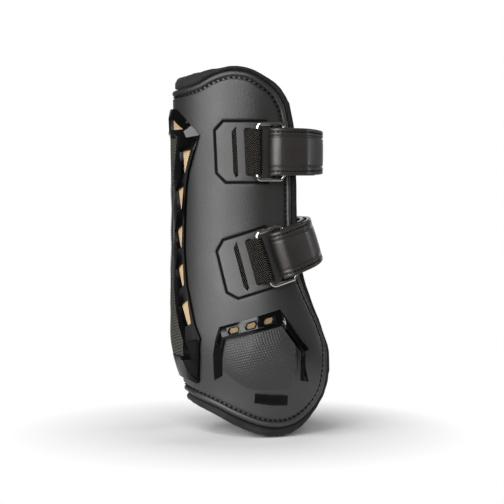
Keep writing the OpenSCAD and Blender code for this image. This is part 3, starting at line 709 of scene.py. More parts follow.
# %% [markdown]
# ## The moulded shell
# The shell has a raised flange round its rim, a stitch groove inside that, and a shallow bed for each
# strap panel, so that a dark line shows round the panel. Drawing them as loops of pattern points, each
# with its height, keeps the edges crisp without a dense mesh.

# %% Outlines of the strap panels
tilt = {"upper": 0.0, "lower": math.radians(18)}
ring_w = {"upper": 76.0, "lower": 79.0}
ring_z = {"upper": 187.0, "lower": 119.0}
panel_back, panel_front, panel_half, panel_cut = 34, 6, 20, 6
panels = [(which, hand) for which in tilt for hand in (1, -1)]
print("strap panels are", panel_back + panel_front, "by", 2 * panel_half, "mm")


def on_panel(which, u, v):
    """A point of a strap panel, u to the front of its ring and v up, as a point of the flat pattern."""
    c, s = math.cos(tilt[which]), math.sin(tilt[which])
    u, v = np.asarray(u, float), np.asarray(v, float)
    return np.stack([ring_w[which] + u * c - v * s, ring_z[which] + u * s + v * c], -1)


def outline(corners, step=2.5):
    """Straight runs between corners, as evenly spaced points."""
    points = []
    for p, q in zip(corners, corners[1:] + corners[:1]):
        p, q = np.array(p, float), np.array(q, float)
        n = max(1, round(float(np.hypot(*(q - p))) / step))
        points += [p + (q - p) * k / n for k in range(n)]
    return np.array(points)


def panel_loop(which, hand, grow):
    """A strap panel's eight-sided edge on the pattern, grown all round; hand is -1 for the inner side."""
    back, front, half = -panel_back - grow, panel_front + grow, panel_half + grow
    cut = panel_cut + grow * (2 - math.sqrt(2))
    points = outline([(back + cut, -half), (front - cut, -half), (front, -half + cut), (front, half - cut),
                      (front - cut, half), (back + cut, half), (back, half - cut), (back, -half + cut)])
    return on_panel(which, points[:, 0], points[:, 1]) * (hand, 1)


def fill_points(loops, height, w_step, z_step, clear):
    """Points on a lattice in the first loop that keep clear of every loop."""
    near = KDTree(sum(len(p) for p, _ in loops))
    for k, p in enumerate(np.vstack([p for p, _ in loops])):
        near.insert((p[0], p[1], 0), k)
    near.balance()
    low, high = loops[0][0].min(0), loops[0][0].max(0)
    w, z = np.meshgrid(np.arange(low[0], high[0], w_step), np.arange(low[1], high[1], z_step))
    spots = np.stack([w.ravel(), z.ravel()], -1)
    spots = spots[inside(spots, loops[0][0])]
    spots = np.array([p for p in spots if near.find((p[0], p[1], 0))[2] > clear])
    return np.column_stack([spots, height(spots)])


# %% Shell
# Each pair is a distance outside the edge and the height of the face there
rim_profile = [(0, -2.2), (-0.2, -1.1), (-0.7, -0.3), (-1.6, 0.2), (-2.5, 0.25), (-3.3, 0.0), (-3.8, -0.5),
               (-4.1, -1.2), (-5.4, -1.2), (-5.8, -0.3), (-6.4, -0.05), (-7.2, 0.0)]
bed_profile = [(2.0, 0.0), (1.25, -0.05), (0.85, -0.35), (0.7, -1.4)]
shell_low, groove_below = -2.6, -1.25
loops = [(rim_loop(reach), h) for reach, h in rim_profile]
loops += [(panel_loop(which, hand, grow), h) for which, hand in panels for grow, h in bed_profile]


def bed_height(spots):
    """Height of the shell's face away from its rim; points in the rim get none."""
    grow, depth = bed_profile[-1]
    in_bed = np.zeros(len(spots), bool)
    for which, hand in panels:
        in_bed |= inside(spots, panel_loop(which, hand, grow))
    in_rim = ~inside(spots, rim_loop(rim_profile[-1][0]))
    return np.where(in_bed, depth, np.where(in_rim, np.nan, 0.0))


fill = fill_points(loops, bed_height, w_step=3.2, z_step=4.0, clear=1.3)
fill = fill[~np.isnan(fill[:, 2])]
# The floors of the panel beds take the near-black finish: a painted shade line round each panel
shell = cut_sheet("moulded_shell", loops, fill, shell_low, satin_tpu, groove=groove_below)
seat(shell, "boot", "moulded_shell", "outer_shell")

# %% [markdown]
# ### Strap panels
# An eight-sided panel lies in each bed. On the outer side it has a pointed slot, and a slit that the elastic
# comes out of. A Boolean could cut them, but as holes in a `cut_sheet` their edges stay clean and have a
# height of their own.

# %% Strap panels
slot_shape = outline([(-23, -13.5), (-21.5, -17), (-20, -15.5), (-20, 16.5), (-23, 13)])
slit_shape = outline([(-14.6, -15.6), (-11.0, -15.6), (-11.0, 15.6), (-14.6, 15.6)])
panel_profile = [(-0.7, -0.6), (-0.8, -0.2), (-1.15, 0.1), (-2.1, 0.15)]
panel_face, hole_edge, panel_low = 0.12, 0.05, -1.35


def level_face(spots):
    """Height of a panel's face, the same all over."""
    return np.full(len(spots), panel_face)


for which, hand in panels:
    loops = [(panel_loop(which, hand, grow), h) for grow, h in panel_profile]
    holes = []
    for shape in (slot_shape, slit_shape) if hand == 1 else ():
        holes.append(on_panel(which, shape[:, 0], shape[:, 1]))
        loops.append((holes[-1], hole_edge))
    fill = fill_points(loops, level_face, w_step=3.2, z_step=3.2, clear=1.4)
    side = "lateral" if hand == 1 else "medial"
    # The panels' paler finish is painted light
    made = cut_sheet(f"{which}_strap_panel_{side}", loops, fill, panel_low, lit_panel_tpu, holes)
    seat(made, "boot", "moulded_shell", f"{which}_panel_{side}")

# %% [markdown]
# ## The spine guard
# A glossy angular moulding runs down the back of the leg, with an arrow-shaped crest, a row of vents on
# either side and a textured plate let into it. It is a grid of facets: each row runs from the spine line
# to the edge, and each vent is a missing cell with a slanted wall towards the spine.

# %% Spine frame
spine_rows = np.array([
    [[0, 216], [3, 216], [5, 215.5], [7, 215.5], [9, 215]],
    [[0, 210.5], [2.5, 210.5], [3.5, 210], [5, 210], [17, 210.5]],
    [[0, 201.5], [1, 201.5], [2, 201.5], [20, 202], [27.5, 202]],
    [[0, 197], [12, 196.5], [15.5, 196.5], [24, 196.5], [31.5, 198]],
    [[0, 188], [10, 188], [15.5, 187], [25, 188.5], [27.5, 188.5]],
    [[0, 173], [5, 173], [17, 172.5], [19, 173.5], [21, 173.5]],
    [[0, 162], [3.5, 162], [8, 161], [17, 164.5], [18.5, 164]],
    [[0, 149], [2.5, 149], [12, 148.5], [14.5, 149.5], [17, 149]],
    [[0, 135], [2.5, 135], [6.5, 134], [15.3, 139], [16.5, 138.5]],
    [[0, 123], [3, 123], [12.5, 122.5], [15, 124], [16.5, 123.5]],
    [[0, 110], [4, 110], [9.5, 109], [16.8, 114], [18, 113.5]],
    [[0, 97], [6, 97], [16.5, 96], [19, 99], [21, 98.5]],
    [[0, 85.5], [9.5, 85.5], [15.5, 84.5], [23.2, 89.5], [24.5, 89]],
    [[0, 72], [15, 72.5], [23.5, 71.5], [27.3, 74], [29.5, 74]],
    [[0, 62], [20.5, 62], [23.5, 61.5], [33, 64], [34.5, 64.5]],
    [[0, 51], [17.5, 51], [28.5, 50.5], [30, 50], [31.5, 51.5]],
    [[0, 48.5], [12, 49], [16.5, 48.5], [26.5, 40], [29.5, 46.5]],
    [[0, 41], [11, 41], [18.5, 40.5], [24.5, 36], [27, 40.5]],
    [[0, 36.5], [10, 36], [17.5, 35.5], [23, 33.5], [25, 35]]
], float)
vent_rows = [1, 4, 6, 8, 10, 12, 14, 16]
plate_start, plate_end = 3, 15
arrow_foot = 190
guard_low, inlay_low = 0.05, 0.1
# The grid runs from foot to top, and from the inner side's edge over the spine line to the outer one's
rows = spine_rows[::-1]
count = len(rows) - 1
spots = np.concatenate([rows[:, :0:-1] * (-1, 1), rows], axis=1).transpose(1, 0, 2)
facet = np.array([3.3, 2.9, 3.6, 2.3, 1.8])
level = np.ones(count + 1)
level[[0, 1, count - 1, count]] = 0.75, 0.9, 0.95, 0.6
half = np.outer(facet, level)
# The arrow's upper edge is a bevel that catches the light
half[3, count - np.array([1, 2, 3])] = 2.8, 3.4, 4.8
half[4, count - np.array([1, 2, 3])] = 0.6, 0.2, 0.8
top = np.vstack([half[:0:-1], half])
keep = np.ones((8, count), bool)
for i in range(8):
    band = 3 - i if i < 4 else i - 4
    for j in range(count):
        row = count - 1 - j
        in_plate = band == 0 and plate_start <= row < plate_end
        in_vent = band == 2 and row in vent_rows
        keep[i, j] = not in_plate and not in_vent
spine_frame = plate("spine_frame_moulding", spots, top, guard_low, gloss_tpu, keep, across=2, along=3)
# Below the arrow the frame takes the darker gloss copy: painted shade
shade_below(spine_frame, arrow_foot)
soften(spine_frame, 0.45)
seat(spine_frame, "boot", "gloss_guard", "spine_frame")

# %% [markdown]
# ### Vents and strike plate
# Behind a vent lies a strip of mesh, one for each side of the spine, and the wall towards the spine slants
# down to it. The walls are little plates that are joined into one object, because on the real boot they are
# one moulding with the frame. The strike plate is a grid too, crowned across the spine.

# %% Slanted vent walls
# The two lowest vents of a side are blind: a slanting floor fills most of each, near black as painted shade
blind_row = 14
walls = []
for hand in (1, -1):
    for row in vent_rows:
        high, low = spine_rows[row], spine_rows[row + 1]
        blind = row >= blind_row
        share = 0.8 if blind else 0.1 if row == 1 else 0.15
        heights = [[3.4, 3.4], [0.5, 0.5]] if blind else [[3.5, 3.5], [1.25, 1.25]]
        inner = np.array([low[2], high[2]])
        outer = inner + (np.array([low[3], high[3]]) - inner) * share
        spots = np.array([inner, outer]) * (hand, 1)
        # Vent walls take the darker gloss copy and blind floors the near-black finish: both painted shade
        walls.append(plate(f"vent_wall_{row}_{hand}", spots[::hand], heights[::hand], inlay_low,
                           recess_shade_tpu if blind else painted_shade_gloss_tpu, across=3, along=3))
bpy.ops.object.select_all(action="DESELECT")
for made in walls:
    made.select_set(True)
bpy.context.view_layer.objects.active = walls[0]
bpy.ops.object.join()
vent_walls = walls[0]
vent_walls.name = "spine_vent_walls"
seat(vent_walls, "boot", "gloss_guard")

# %% Strike plate and vent mesh
steps = np.linspace(-1, 1, 15)
rows = spine_rows[plate_start:plate_end + 1][::-1]
plate_w = np.outer(steps, rows[:, 1, 0] - 0.4)
plate_z = rows[:, 0, 1] + np.outer(np.abs(steps), rows[:, 1, 1] - rows[:, 0, 1])
plate_z[:, 0] += 0.5
plate_z[:, -1] -= 0.5
crown = 2.75 - 0.9 * np.abs(steps) ** 3
spots = np.stack([plate_w, plate_z], -1)
strike = plate("strike_plate_face", spots, crown[:, None], inlay_low, plate_tpu, along=3, sharp=40)
set_ridge(strike, np.ones(len(strike.data.vertices)))
seat(strike, "boot", "textured_guard", "strike_plate")

# The mesh lies behind every vent that isn't blind, and its edges run under the frame
mesh_tuck, mesh_spare, mesh_top = 1.2, 1.8, 1.3
rows = spine_rows[1:blind_row][::-1]
share = np.linspace(0, 1, 7)[:, None, None]
spots = rows[:, 2] - (mesh_tuck, 0) + share * (rows[:, 3] - rows[:, 2] + (mesh_spare, 0))
for hand, side in ((1, "lateral"), (-1, "medial")):
    sided = (spots * (hand, 1))[::hand]
    made = plate(f"spine_vent_mesh_{side}", sided, mesh_top, guard_low, tan_mesh, along=3)
    seat(made, "boot", "vent_mesh", f"spine_mesh_{side}")

# %% [markdown]
# ## The fetlock guard
# Low on each side sits a domed strike pad with a fine pyramid texture, under a glossy bent frame with
# three vents. The pad's edge dives into the shell, so the dome seems to grow out of it, and the texture
# runs out towards that edge. The outer side is drawn, and the inner side is its mirror image.

# %% Fetlock frame
fetlock_outer = np.array([[37.5, 36.5], [47.5, 72.5], [85, 84], [104, 58], [98.5, 35]], float)
fetlock_inner = np.array([[44.5, 40], [52, 64.5], [86, 74], [99, 55], [93, 36]], float)
vent_cells = [3, 5, 7]
leg_top = 62
# Shares at a vent's outer and inner edge, and the heights of the frame's face there
vent_outer, vent_inner = 0.22, 0.78
outer_h, inner_h = 1.3, 4.1


def along_corners(corners, s):
    """Points at stations s along a list of corners."""
    return np.stack([np.interp(s, np.arange(len(corners)), corners[:, k]) for k in (0, 1)], -1)


def on_frame(s, share):
    """Points of the fetlock frame at stations s, at a share of the way from its outer to its inner edge."""
    share = np.broadcast_to(share, np.shape(s))[:, None]
    return along_corners(fetlock_outer, s) * (1 - share) + along_corners(fetlock_inner, s) * share


stops = np.array([0, 0.5, 1, 1.11, 1.31, 1.395, 1.595, 1.68, 1.88, 2, 2.33, 2.67, 3, 3.12, 3.5, 3.85, 4])
bars = np.stack([on_frame(stops, share) for share in (1, vent_inner, vent_outer, 0)], 1)
# One row of heights for each stop, from the inner edge to the outer one
frame_top = np.tile([0.7, 2.5, 3.1, 0.6], (len(stops), 1))
frame_top[0] = 0.3, 1.0, 1.2, 0.2
frame_top[1] = 0.5, 1.2, 3.3, 0.7
frame_top[2:10] = 3.5, inner_h, outer_h, 0.3
frame_top[13:16] = [[0.7, 1.9, -0.2, -0.3], [0.6, 1.4, -0.3, -0.4], [0.6, 1.6, 0.3, -0.2]]
frame_top[-1] = 0.2, 0.8, 0.6, 0.1
frame_keep = np.ones((len(stops) - 1, 3), bool)
frame_keep[vent_cells, 1] = False
guard = plate("fetlock_frame_moulding_lateral", bars, frame_top, np.minimum(0.0, frame_top - 0.3), gloss_tpu,
              frame_keep, across=2, along=2)
# The frame's legs take the darker gloss copy: painted shade
shade_below(guard, leg_top)
soften(guard, 0.35)
print("fetlock frame has", len(guard.data.polygons), "faces and", len(vent_cells), "vents")

# %% Strike pad
# The pad reaches up to the frame, and dives into the shell at its foot
pad_low = np.array([[47, 40.5], [50.5, 35.5], [57.5, 31.5], [66.5, 30], [77, 30], [85.5, 32], [91, 36.5]])
pad_high = np.array([[54, 62.5], [62, 65.5], [70, 67.5], [78, 70], [85.5, 72], [91.5, 63], [97, 55]])
pad_under, dome_rise, foot_sag = -0.8, 3.8, 3.5
last = len(pad_low) - 1
s, t = np.linspace(0, last, 37), np.linspace(0, 1, 25)
spine_end = np.clip(1 - s, 0, 1)
under_frame = np.clip(s / 0.2, 0, 1) * np.clip((last - s) / 0.4, 0, 1)
sag = 1 - np.abs(s / 3 - 1) ** 3
foot = along_corners(pad_low, s) + np.outer(sag, [0, -foot_sag]) - np.outer(spine_end, [1.8, 0])
head = along_corners(pad_high, s) + np.outer(under_frame, [0, 1.3]) - np.outer(spine_end, [1.2, 0])
spots = foot[:, None] + t[None, :, None] * (head - foot)[:, None]
dome_s = smooth(np.minimum(s / 2.6, (last - s) / 0.8))
dome_t = smooth(t / 0.75) * (1 - 0.25 * smooth((t - 0.7) / 0.3))
pad_top = -0.3 + 0.7 * smooth(t / 0.3) + dome_rise * np.outer(dome_s, dome_t)
pad = plate("fetlock_pad_face_lateral", spots, pad_top, pad_under, pyramid_tpu, sharp=60)
fade_s = np.minimum(0.35 + s / 2.4, (last - s) / 0.3).clip(0, 1)
fade = smooth(np.outer(fade_s, (t / 0.4).clip(0, 1)))
set_ridge(pad, np.tile(fade.ravel(), 2))
print("strike pad stands", round(float(pad_top.max()), 1), "mm above the shell")

# %% Fetlock vents
cloth_start, cloth_end, cloth_top = 1.05, 1.93, 0.9
s = np.linspace(cloth_start, cloth_end, 15)
spots = np.stack([on_frame(s, share) for share in (0.84, 0.26)], 1)
# The cloth here is the darker copy: painted shade
vent_cloth = plate("fetlock_vent_mesh_lateral", spots, cloth_top, guard_low, shaded_mesh, along=3)

# Each vent narrows to a six-sided window, as one ring with a slanted face. A shape's corners run from -1
# to 1 across its cell of the frame, and a loop without a height lies in the frame's face.
mouth = np.array([(-1, -1), (0, -1), (1, -1), (1, 0), (1, 1), (0, 1), (-1, 1), (-1, 0)]) * 0.99
window = np.array([(-0.66, -0.62), (0, -0.66), (0.44, -0.62), (0.76, 0.05), (0.66, 0.62), (0, 0.66),
                   (-0.44, 0.62), (-0.76, -0.05)])
funnel = [(mouth, None), (window * 1.32, None), (window, 1.15), (window, 0.2), (mouth, 0.2)]
points, faces, dark = [], [], []
for cell in vent_cells:
    first = 8 * len(points)
    for shape, height in funnel:
        s = stops[cell] + (shape[:, 0] + 1) / 2 * (stops[cell + 1] - stops[cell])
        share = (vent_outer + vent_inner) / 2 - (vent_inner - vent_outer) / 2 * shape[:, 1]
        h = np.interp(share, [vent_outer, vent_inner], [outer_h, inner_h]) if height is None else height
        points.append(wrap(on_frame(s, share), h))
    for a in range(5):
        b = (a + 1) % 5
        for i in range(8):
            j = (i + 1) % 8
            faces.append(tuple(first + 8 * ring + q for ring, q in ((a, i), (a, j), (b, j), (b, i))))
            dark.append(int(a == 1))
funnels = piece("fetlock_vent_funnels_lateral", np.vstack(points), faces, gloss_tpu, sharp=20)
# The slanted face round each window takes the near-black finish: painted shade
funnels.data.materials.append(recess_shade_tpu)
funnels.data.polygons.foreach_set("material_index", dark)
print("vent funnels have", len(faces), "faces")

# %% Ribs and the inner side
rib_low = np.array([[60.5, 22], [71, 20], [81, 19.5]])
rib_high = np.array([[62, 28.5], [71.5, 27], [82, 26.5]])
rib_under = -0.3
s, t = np.linspace(0, 2, 9), np.array([0, 0.25, 0.75, 1])
foot, head = along_corners(rib_low, s), along_corners(rib_high, s)
spots = foot[:, None] + t[None, :, None] * (head - foot)[:, None]
rib_top = np.outer([0.1, 1.2, 1.5, 1.5, 1.5, 1.4, 1.2, 0.8, 0.1], [0.1, 0.9, 1.2, 1.0])
# The ribs take the darker gloss copy: painted shade
rib = plate("fetlock_rib_moulding_lateral", spots, rib_top, rib_under, painted_shade_gloss_tpu)
soften(rib, 0.4)
for made, slot, node in ((guard, "gloss_guard", "fetlock_frame"), (pad, "textured_guard", "fetlock_pad"),
                         (vent_cloth, "vent_mesh", "fetlock_mesh"), (rib, "gloss_guard", "fetlock_rib")):
    seat(mirrored(made, made.name.replace("lateral", "medial")), "boot", slot, node + "_medial")
    seat(made, "boot", slot, node + "_lateral")
seat(mirrored(funnels, "fetlock_vent_funnels_medial"), "boot", "gloss_guard")
seat(funnels, "boot", "gloss_guard")

# %% [markdown]
# ## Lining, foam and the padded roll
# Inside the shell lie a foam layer and a knitted lining, and a stuffed roll is sewn round the rim, which
# stands up as a collar behind the spine. The roll starts slack, and Blender's Cloth swells it: air presses
# from inside while the sewn side is pinned, and no point may move far, so it stays in its place.

# %% Foam and lining
foam_top, foam_low, lining_top, lining_low = -3.1, -8.1, -8.6, -11.4


def layer_grid(collar, top, bottom, front, columns, rows):
    """A grid of pattern points over the whole boot, with its reaches past the rim."""
    grid = []
    for i in range(-columns, columns + 1):
        a = abs(i) / columns
        column = [layer_point(a, j / rows, collar, top, bottom, front) for j in range(rows + 1)]
        grid.append(np.array(column) * (1 if i >= 0 else -1, 1))
    return np.array(grid)


spots = layer_grid(-3, -3, -3, -3, columns=26, rows=22)
made = plate("shock_foam_layer", spots, foam_top, foam_low, foam, sharp=60)
seat(made, "boot", "foam", "shock_foam")
spots = layer_grid(collar_reach - 1, top_reach - 1, bottom_reach - 1, front_reach - 1, columns=40, rows=34)
made = plate("knit_lining", spots, lining_top, lining_low, neoprene, sharp=60)
seat(made, "boot", "lining", "lining")

# %% Padded roll before stuffing
columns, rows, sides = 70, 40, 14
seam_gap, slack, pucker_depth, pucker_run = 0.2, 0.9, 0.03, 4
roll_middle, roll_half, square_by, lean_by = -4.5, 3.9, 0.5, 0.3


def rim_station(rim, outward, a, spine, side):
    """A rim point, the point 1 mm outside it, and the roll's reach there."""
    return spline(rim, a), rim_point(rim, outward, a, 1), float(reach_at(a, spine, side, front_reach))


half_rim = [rim_station(rim_bottom, -1, i / columns, bottom_reach, bottom_reach) for i in range(columns)]
half_rim += [(layer_point(1, j / rows, 0, 0, 0, 0), layer_point(1, j / rows, 1, 1, 1, 1), front_reach)
             for j in range(rows + 1)]
half_rim += [rim_station(rim_top, 1, i / columns, collar_reach, top_reach)
             for i in range(columns - 1, -1, -1)]
stations = [(p, q - p, reach, 1) for p, q, reach in half_rim]
stations += [(p, q - p, reach, -1) for p, q, reach in half_rim[-2:0:-1]]
total = len(stations)
angle = 2 * math.pi * (np.arange(sides) + 0.5) / sides
points, faces = [], []
for i, (p, out, reach, hand) in enumerate(stations):
    half = (reach - seam_gap) / 2
    pucker = 1 - pucker_depth * math.cos(2 * math.pi * i / pucker_run)
    # The collar behind the spine is squarer, and leans to the leg
    lean = float(smooth((reach - bottom_reach) / (collar_reach - bottom_reach)))
    square = 1 - square_by * lean
    round_d, round_h = (np.sign(x) * np.abs(x) ** square for x in (np.cos(angle), np.sin(angle)))
    d = seam_gap + half + half * round_d * pucker * slack
    h = roll_middle + roll_half * round_h * pucker * slack - lean_by * d * lean
    points.append(wrap(np.stack([hand * (p[0] + out[0] * d), p[1] + out[1] * d], -1), h))
    here, there = i * sides, (i + 1) % total * sides
    for k in range(sides):
        k2 = (k + 1) % sides
        faces.append((here + k, here + k2, there + k2, there + k))
roll = piece("padded_edge_roll", np.vstack(points), faces, neoprene, sharp=80)
work = bmesh.new()
work.from_mesh(roll.data)
bmesh.ops.recalc_face_normals(work, faces=work.faces)
work.to_mesh(roll.data)
work.free()
print("roll has", total, "stations of", sides, "points")


# %% Stuffing
def stuff(made, pinned, pressure, frames, cap):
    """Swells a closed mesh with Cloth, some points pinned, and keeps the shape; cap is in millimetres."""
    scene = bpy.context.scene
    rest = np.array([v.co for v in made.data.vertices])
    hold = made.vertex_groups.new(name="seam")
    hold.add([int(i) for i in np.flatnonzero(pinned)], 1.0, "REPLACE")
    cloth = made.modifiers.new("stuffing", "CLOTH")
    cloth.settings.vertex_group_mass = hold.name
    cloth.settings.use_pressure = True
    cloth.settings.uniform_pressure_force = pressure
    cloth.settings.effector_weights.gravity = 0
    cloth.settings.mass = 0.02
    cloth.settings.bending_stiffness = 0.05
    cloth.settings.tension_stiffness = 5
    cloth.settings.compression_stiffness = 5
    cloth.settings.shear_stiffness = 5
    cloth.point_cache.frame_start = 1
    cloth.point_cache.frame_end = frames
    for k in range(1, frames + 1):
        scene.frame_set(k)
    swollen = made.evaluated_get(bpy.context.evaluated_depsgraph_get()).data
    moved = np.array([v.co for v in swollen.vertices]) - rest
    far = np.linalg.norm(moved, axis=1, keepdims=True)
    made.modifiers.remove(cloth)
    made.vertex_groups.remove(hold)
    capped = rest + moved * np.minimum(1, cap * MM / np.maximum(far, 1e-9))
    made.data.vertices.foreach_set("co", capped.ravel())
    scene.frame_set(1)
    print(made.name, "swelled by", (np.percentile(far, [50, 90, 100]) / MM).round(2), "mm before the cap")


sewn_below = -0.6
sewn_side = np.tile(np.cos(angle) < sewn_below, total)
stuff(roll, sewn_side, pressure=3000, frames=20, cap=0.8)
seat(roll, "boot", "edge_roll", "edge_roll")

# %% [markdown]
# ## Straps, tabs and rings
# Each strap starts sewn to the inner side, runs round the front, through a wire ring and back over itself.
# Its tail peels off, so the fold and tail are one piece, and the main run
# stays on the boot. A strap lies in its own plane, which slopes for the lower strap: `plan` gives a point
# of that plane at an angle round the leg and a height above the shell.

# %% Strap planes
strap_w, strap_t, tape_t, gap = 31.0, 2.4, 0.8, 0.3
wire_r, ring_span, ring_corner, bar_gap = 1.5, 17.0, 2.6, 0.1
elastic_w, elastic_t = 30.0, 1.4
fold_r, fold_back, tail_end, strap_end = 3.6, 5.8, 196.0, 283.0
front_half, tail_flat, edge_room, one_degree = 54, 150, 1.15, 0.0175
stand_off = {"upper": 6.0, "lower": -2.5}
strap_seat = 1.3 + 1.5 * gap
loop_r = wire_r + bar_gap + elastic_t
fold_out = fold_r + strap_t


def pattern_angle(which, u):
    """Angle round the leg at a distance u to the front of a ring's middle."""
    a, b, _ = section(ring_z[which])
    return 2 * (ring_w[which] + u) / (a + b)


def fold_angle(which):
    """Angle round the leg at the middle of a strap's fold."""
    return pattern_angle(which, ring_span / 2 - fold_back)


# A strap stands off far enough for its lower edge to clear the widening leg
plane_z, base_lift = {}, {}
for which in tilt:
    ring_x = wrap((ring_w[which], ring_z[which]), 0)[0] / MM
    plane_z[which] = ring_z[which] - ring_x * math.tan(tilt[which])
    steep = abs(section(ring_z[which] + 1)[1] - section(ring_z[which] - 1)[1]) / 2
    base_lift[which] = strap_seat + edge_room * strap_w / 2 * steep
print("straps lie", {which: round(float(lift), 1) for which, lift in base_lift.items()}, "mm off the shell")


def plan(which, angle, h):
    """Points of a strap's plane at an angle round the leg and a height above the shell."""
    z = np.full(np.shape(angle), ring_z[which])
    for _ in range(6):
        z = plane_z[which] + on_section(angle, z, h)[..., 0] * math.tan(tilt[which])
    p = on_section(angle, z, h)
    return np.stack([p[..., 0] / math.cos(tilt[which]), p[..., 1]], -1)


# %% Heights of straps and tails
def strap_lift(which, angle):
    """Height of a strap's underside: on the straight sides, then standing off round the front."""
    from_front = np.abs(np.degrees(angle) - 180)
    over = np.radians(180 - np.maximum(front_half, from_front)) - wing_start(ring_z[which])
    a, b, _ = section(ring_z[which])
    low = base_lift[which] + (a + b) / 2 * (1 / np.cos(np.maximum(0, over)) - 1)
    return low + (stand_off[which] - low) * smooth((front_half - from_front) / front_half)


def tail_lift(which, angle):
    """Height of a tail's underside: it comes down from the fold to lie on the tapes."""
    start, end = fold_angle(which), math.radians(tail_flat)
    low, high = fold_out + fold_r, strap_t + 2 * tape_t + 3 * gap
    return strap_lift(which, angle) + low + (high - low) * smooth((angle - start) / (end - start))


def out_of_plane(which, p, v):
    """A point of the strap's plane, moved by v across the strap, as a point of the boot in metres."""
    c, s = math.cos(tilt[which]), math.sin(tilt[which])
    p, v = np.asarray(p, float), np.asarray(v, float)
    x, y, v = np.broadcast_arrays(p[..., 0], p[..., 1], v)
    return np.stack([x * c - v * s, y, plane_z[which] + x * s + v * c], -1) * MM


# %% Folds
def direction(which, angle):
    """Direction of a strap in its plane, towards the front."""
    ends = angle + np.array([one_degree, -one_degree])
    d = np.subtract(*plan(which, ends, strap_lift(which, ends)))
    return d / np.hypot(*d)


def fold_frame(which):
    """Middle of the fold, and the directions along the strap and outwards there."""
    angle = fold_angle(which)
    d = direction(which, angle)
    return plan(which, np.array(angle), strap_lift(which, angle) + fold_out), d, np.array([d[1], -d[0]])


for which in tilt:
    middle, _, out = fold_frame(which)
    print(which, "crease at", out_of_plane(which, middle + fold_out * out, 0).round(4))


# %% Ribbons
def run_length(points):
    """Distance from the start of a line of points to each of them."""
    return np.concatenate([[0], np.cumsum(np.linalg.norm(np.diff(points, axis=0), axis=1))])


def strip_normal(base):
    """Direction out of a strip at each point of its grid."""
    return unit(np.cross(np.gradient(base, axis=0), np.gradient(base, axis=1)))


def ribbon(name, base, outer, inner, finish):
    """A strip on a grid of base points, from heights inner to outer along its normal; its ends are closed."""
    n, m = base.shape[:2]
    normal = strip_normal(base)
    faces_at = [np.broadcast_to(h, m)[None, :, None] * MM for h in (outer, inner)]
    points = np.vstack([(base + normal * h).reshape(-1, 3) for h in faces_at])
    at = np.arange(n * m).reshape(n, m)
    low = n * m
    faces = []
    for i in range(n - 1):
        for j in range(m - 1):
            a, b, c, d = (int(q) for q in (at[i, j], at[i + 1, j], at[i + 1, j + 1], at[i, j + 1]))
            faces += [(a, b, c, d), (d + low, c + low, b + low, a + low)]
        for j, order in ((0, 1), (m - 1, -1)):
            a, b = int(at[i, j]), int(at[i + 1, j])
            faces.append((b, a, a + low, b + low)[::order])
    for i, order in ((0, 1), (n - 1, -1)):
        for j in range(m - 1):
            a, d = int(at[i, j]), int(at[i, j + 1])
            faces.append((a, d, d + low, a + low)[::order])
    # UVs are millimetres along and across the strip
    uv = np.stack(np.meshgrid(run_length(base[:, m // 2]), run_length(base[0]), indexing="ij"), -1) / MM
    return piece(name, points, faces, finish, np.tile(uv.reshape(-1, 2), (2, 1)), 50)


# Half of a strap's section as distance from its middle and height of its face: a soft crown, a pressed
# crease, a stitch groove and a rounded edge
half_section = [(0, 0.2), (5, 0.15), (8.4, 0.05), (9.3, 0), (9.7, -0.5), (10.3, -0.5), (10.7, 0),
                (11.6, 0.08), (12.2, 0), (12.5, -0.4), (13.1, -0.4), (13.4, 0), (14.2, 0.05), (14.9, -0.1),
                (15.3, -0.45), (15.5, -1.0)]
across = np.array([-v for v, _ in half_section[:0:-1]] + [v for v, _ in half_section])
face = np.array([h for _, h in half_section[:0:-1]] + [h for _, h in half_section])
under = np.where(np.abs(across) > 15.4, 0.8, np.where(np.abs(across) > 15.2, 0.3, 0.0))
print("strap section has", len(across), "points across")

# %% [markdown]
# ## Stitches
# Stitches repeat along a path, so they are Geometry Nodes: the path is resampled at the stitch pitch, and
# a small bead is turned along it at each point. The path carries an `up` vector, so that the beads lie flat
# on the surface they hold.

# %% Stitch nodes
rim_stitch = {"Pitch": 3.5, "Length": 2.5, "Thickness": 1.15}
strap_stitch = {"Pitch": 3.0, "Length": 2.3, "Thickness": 0.6}


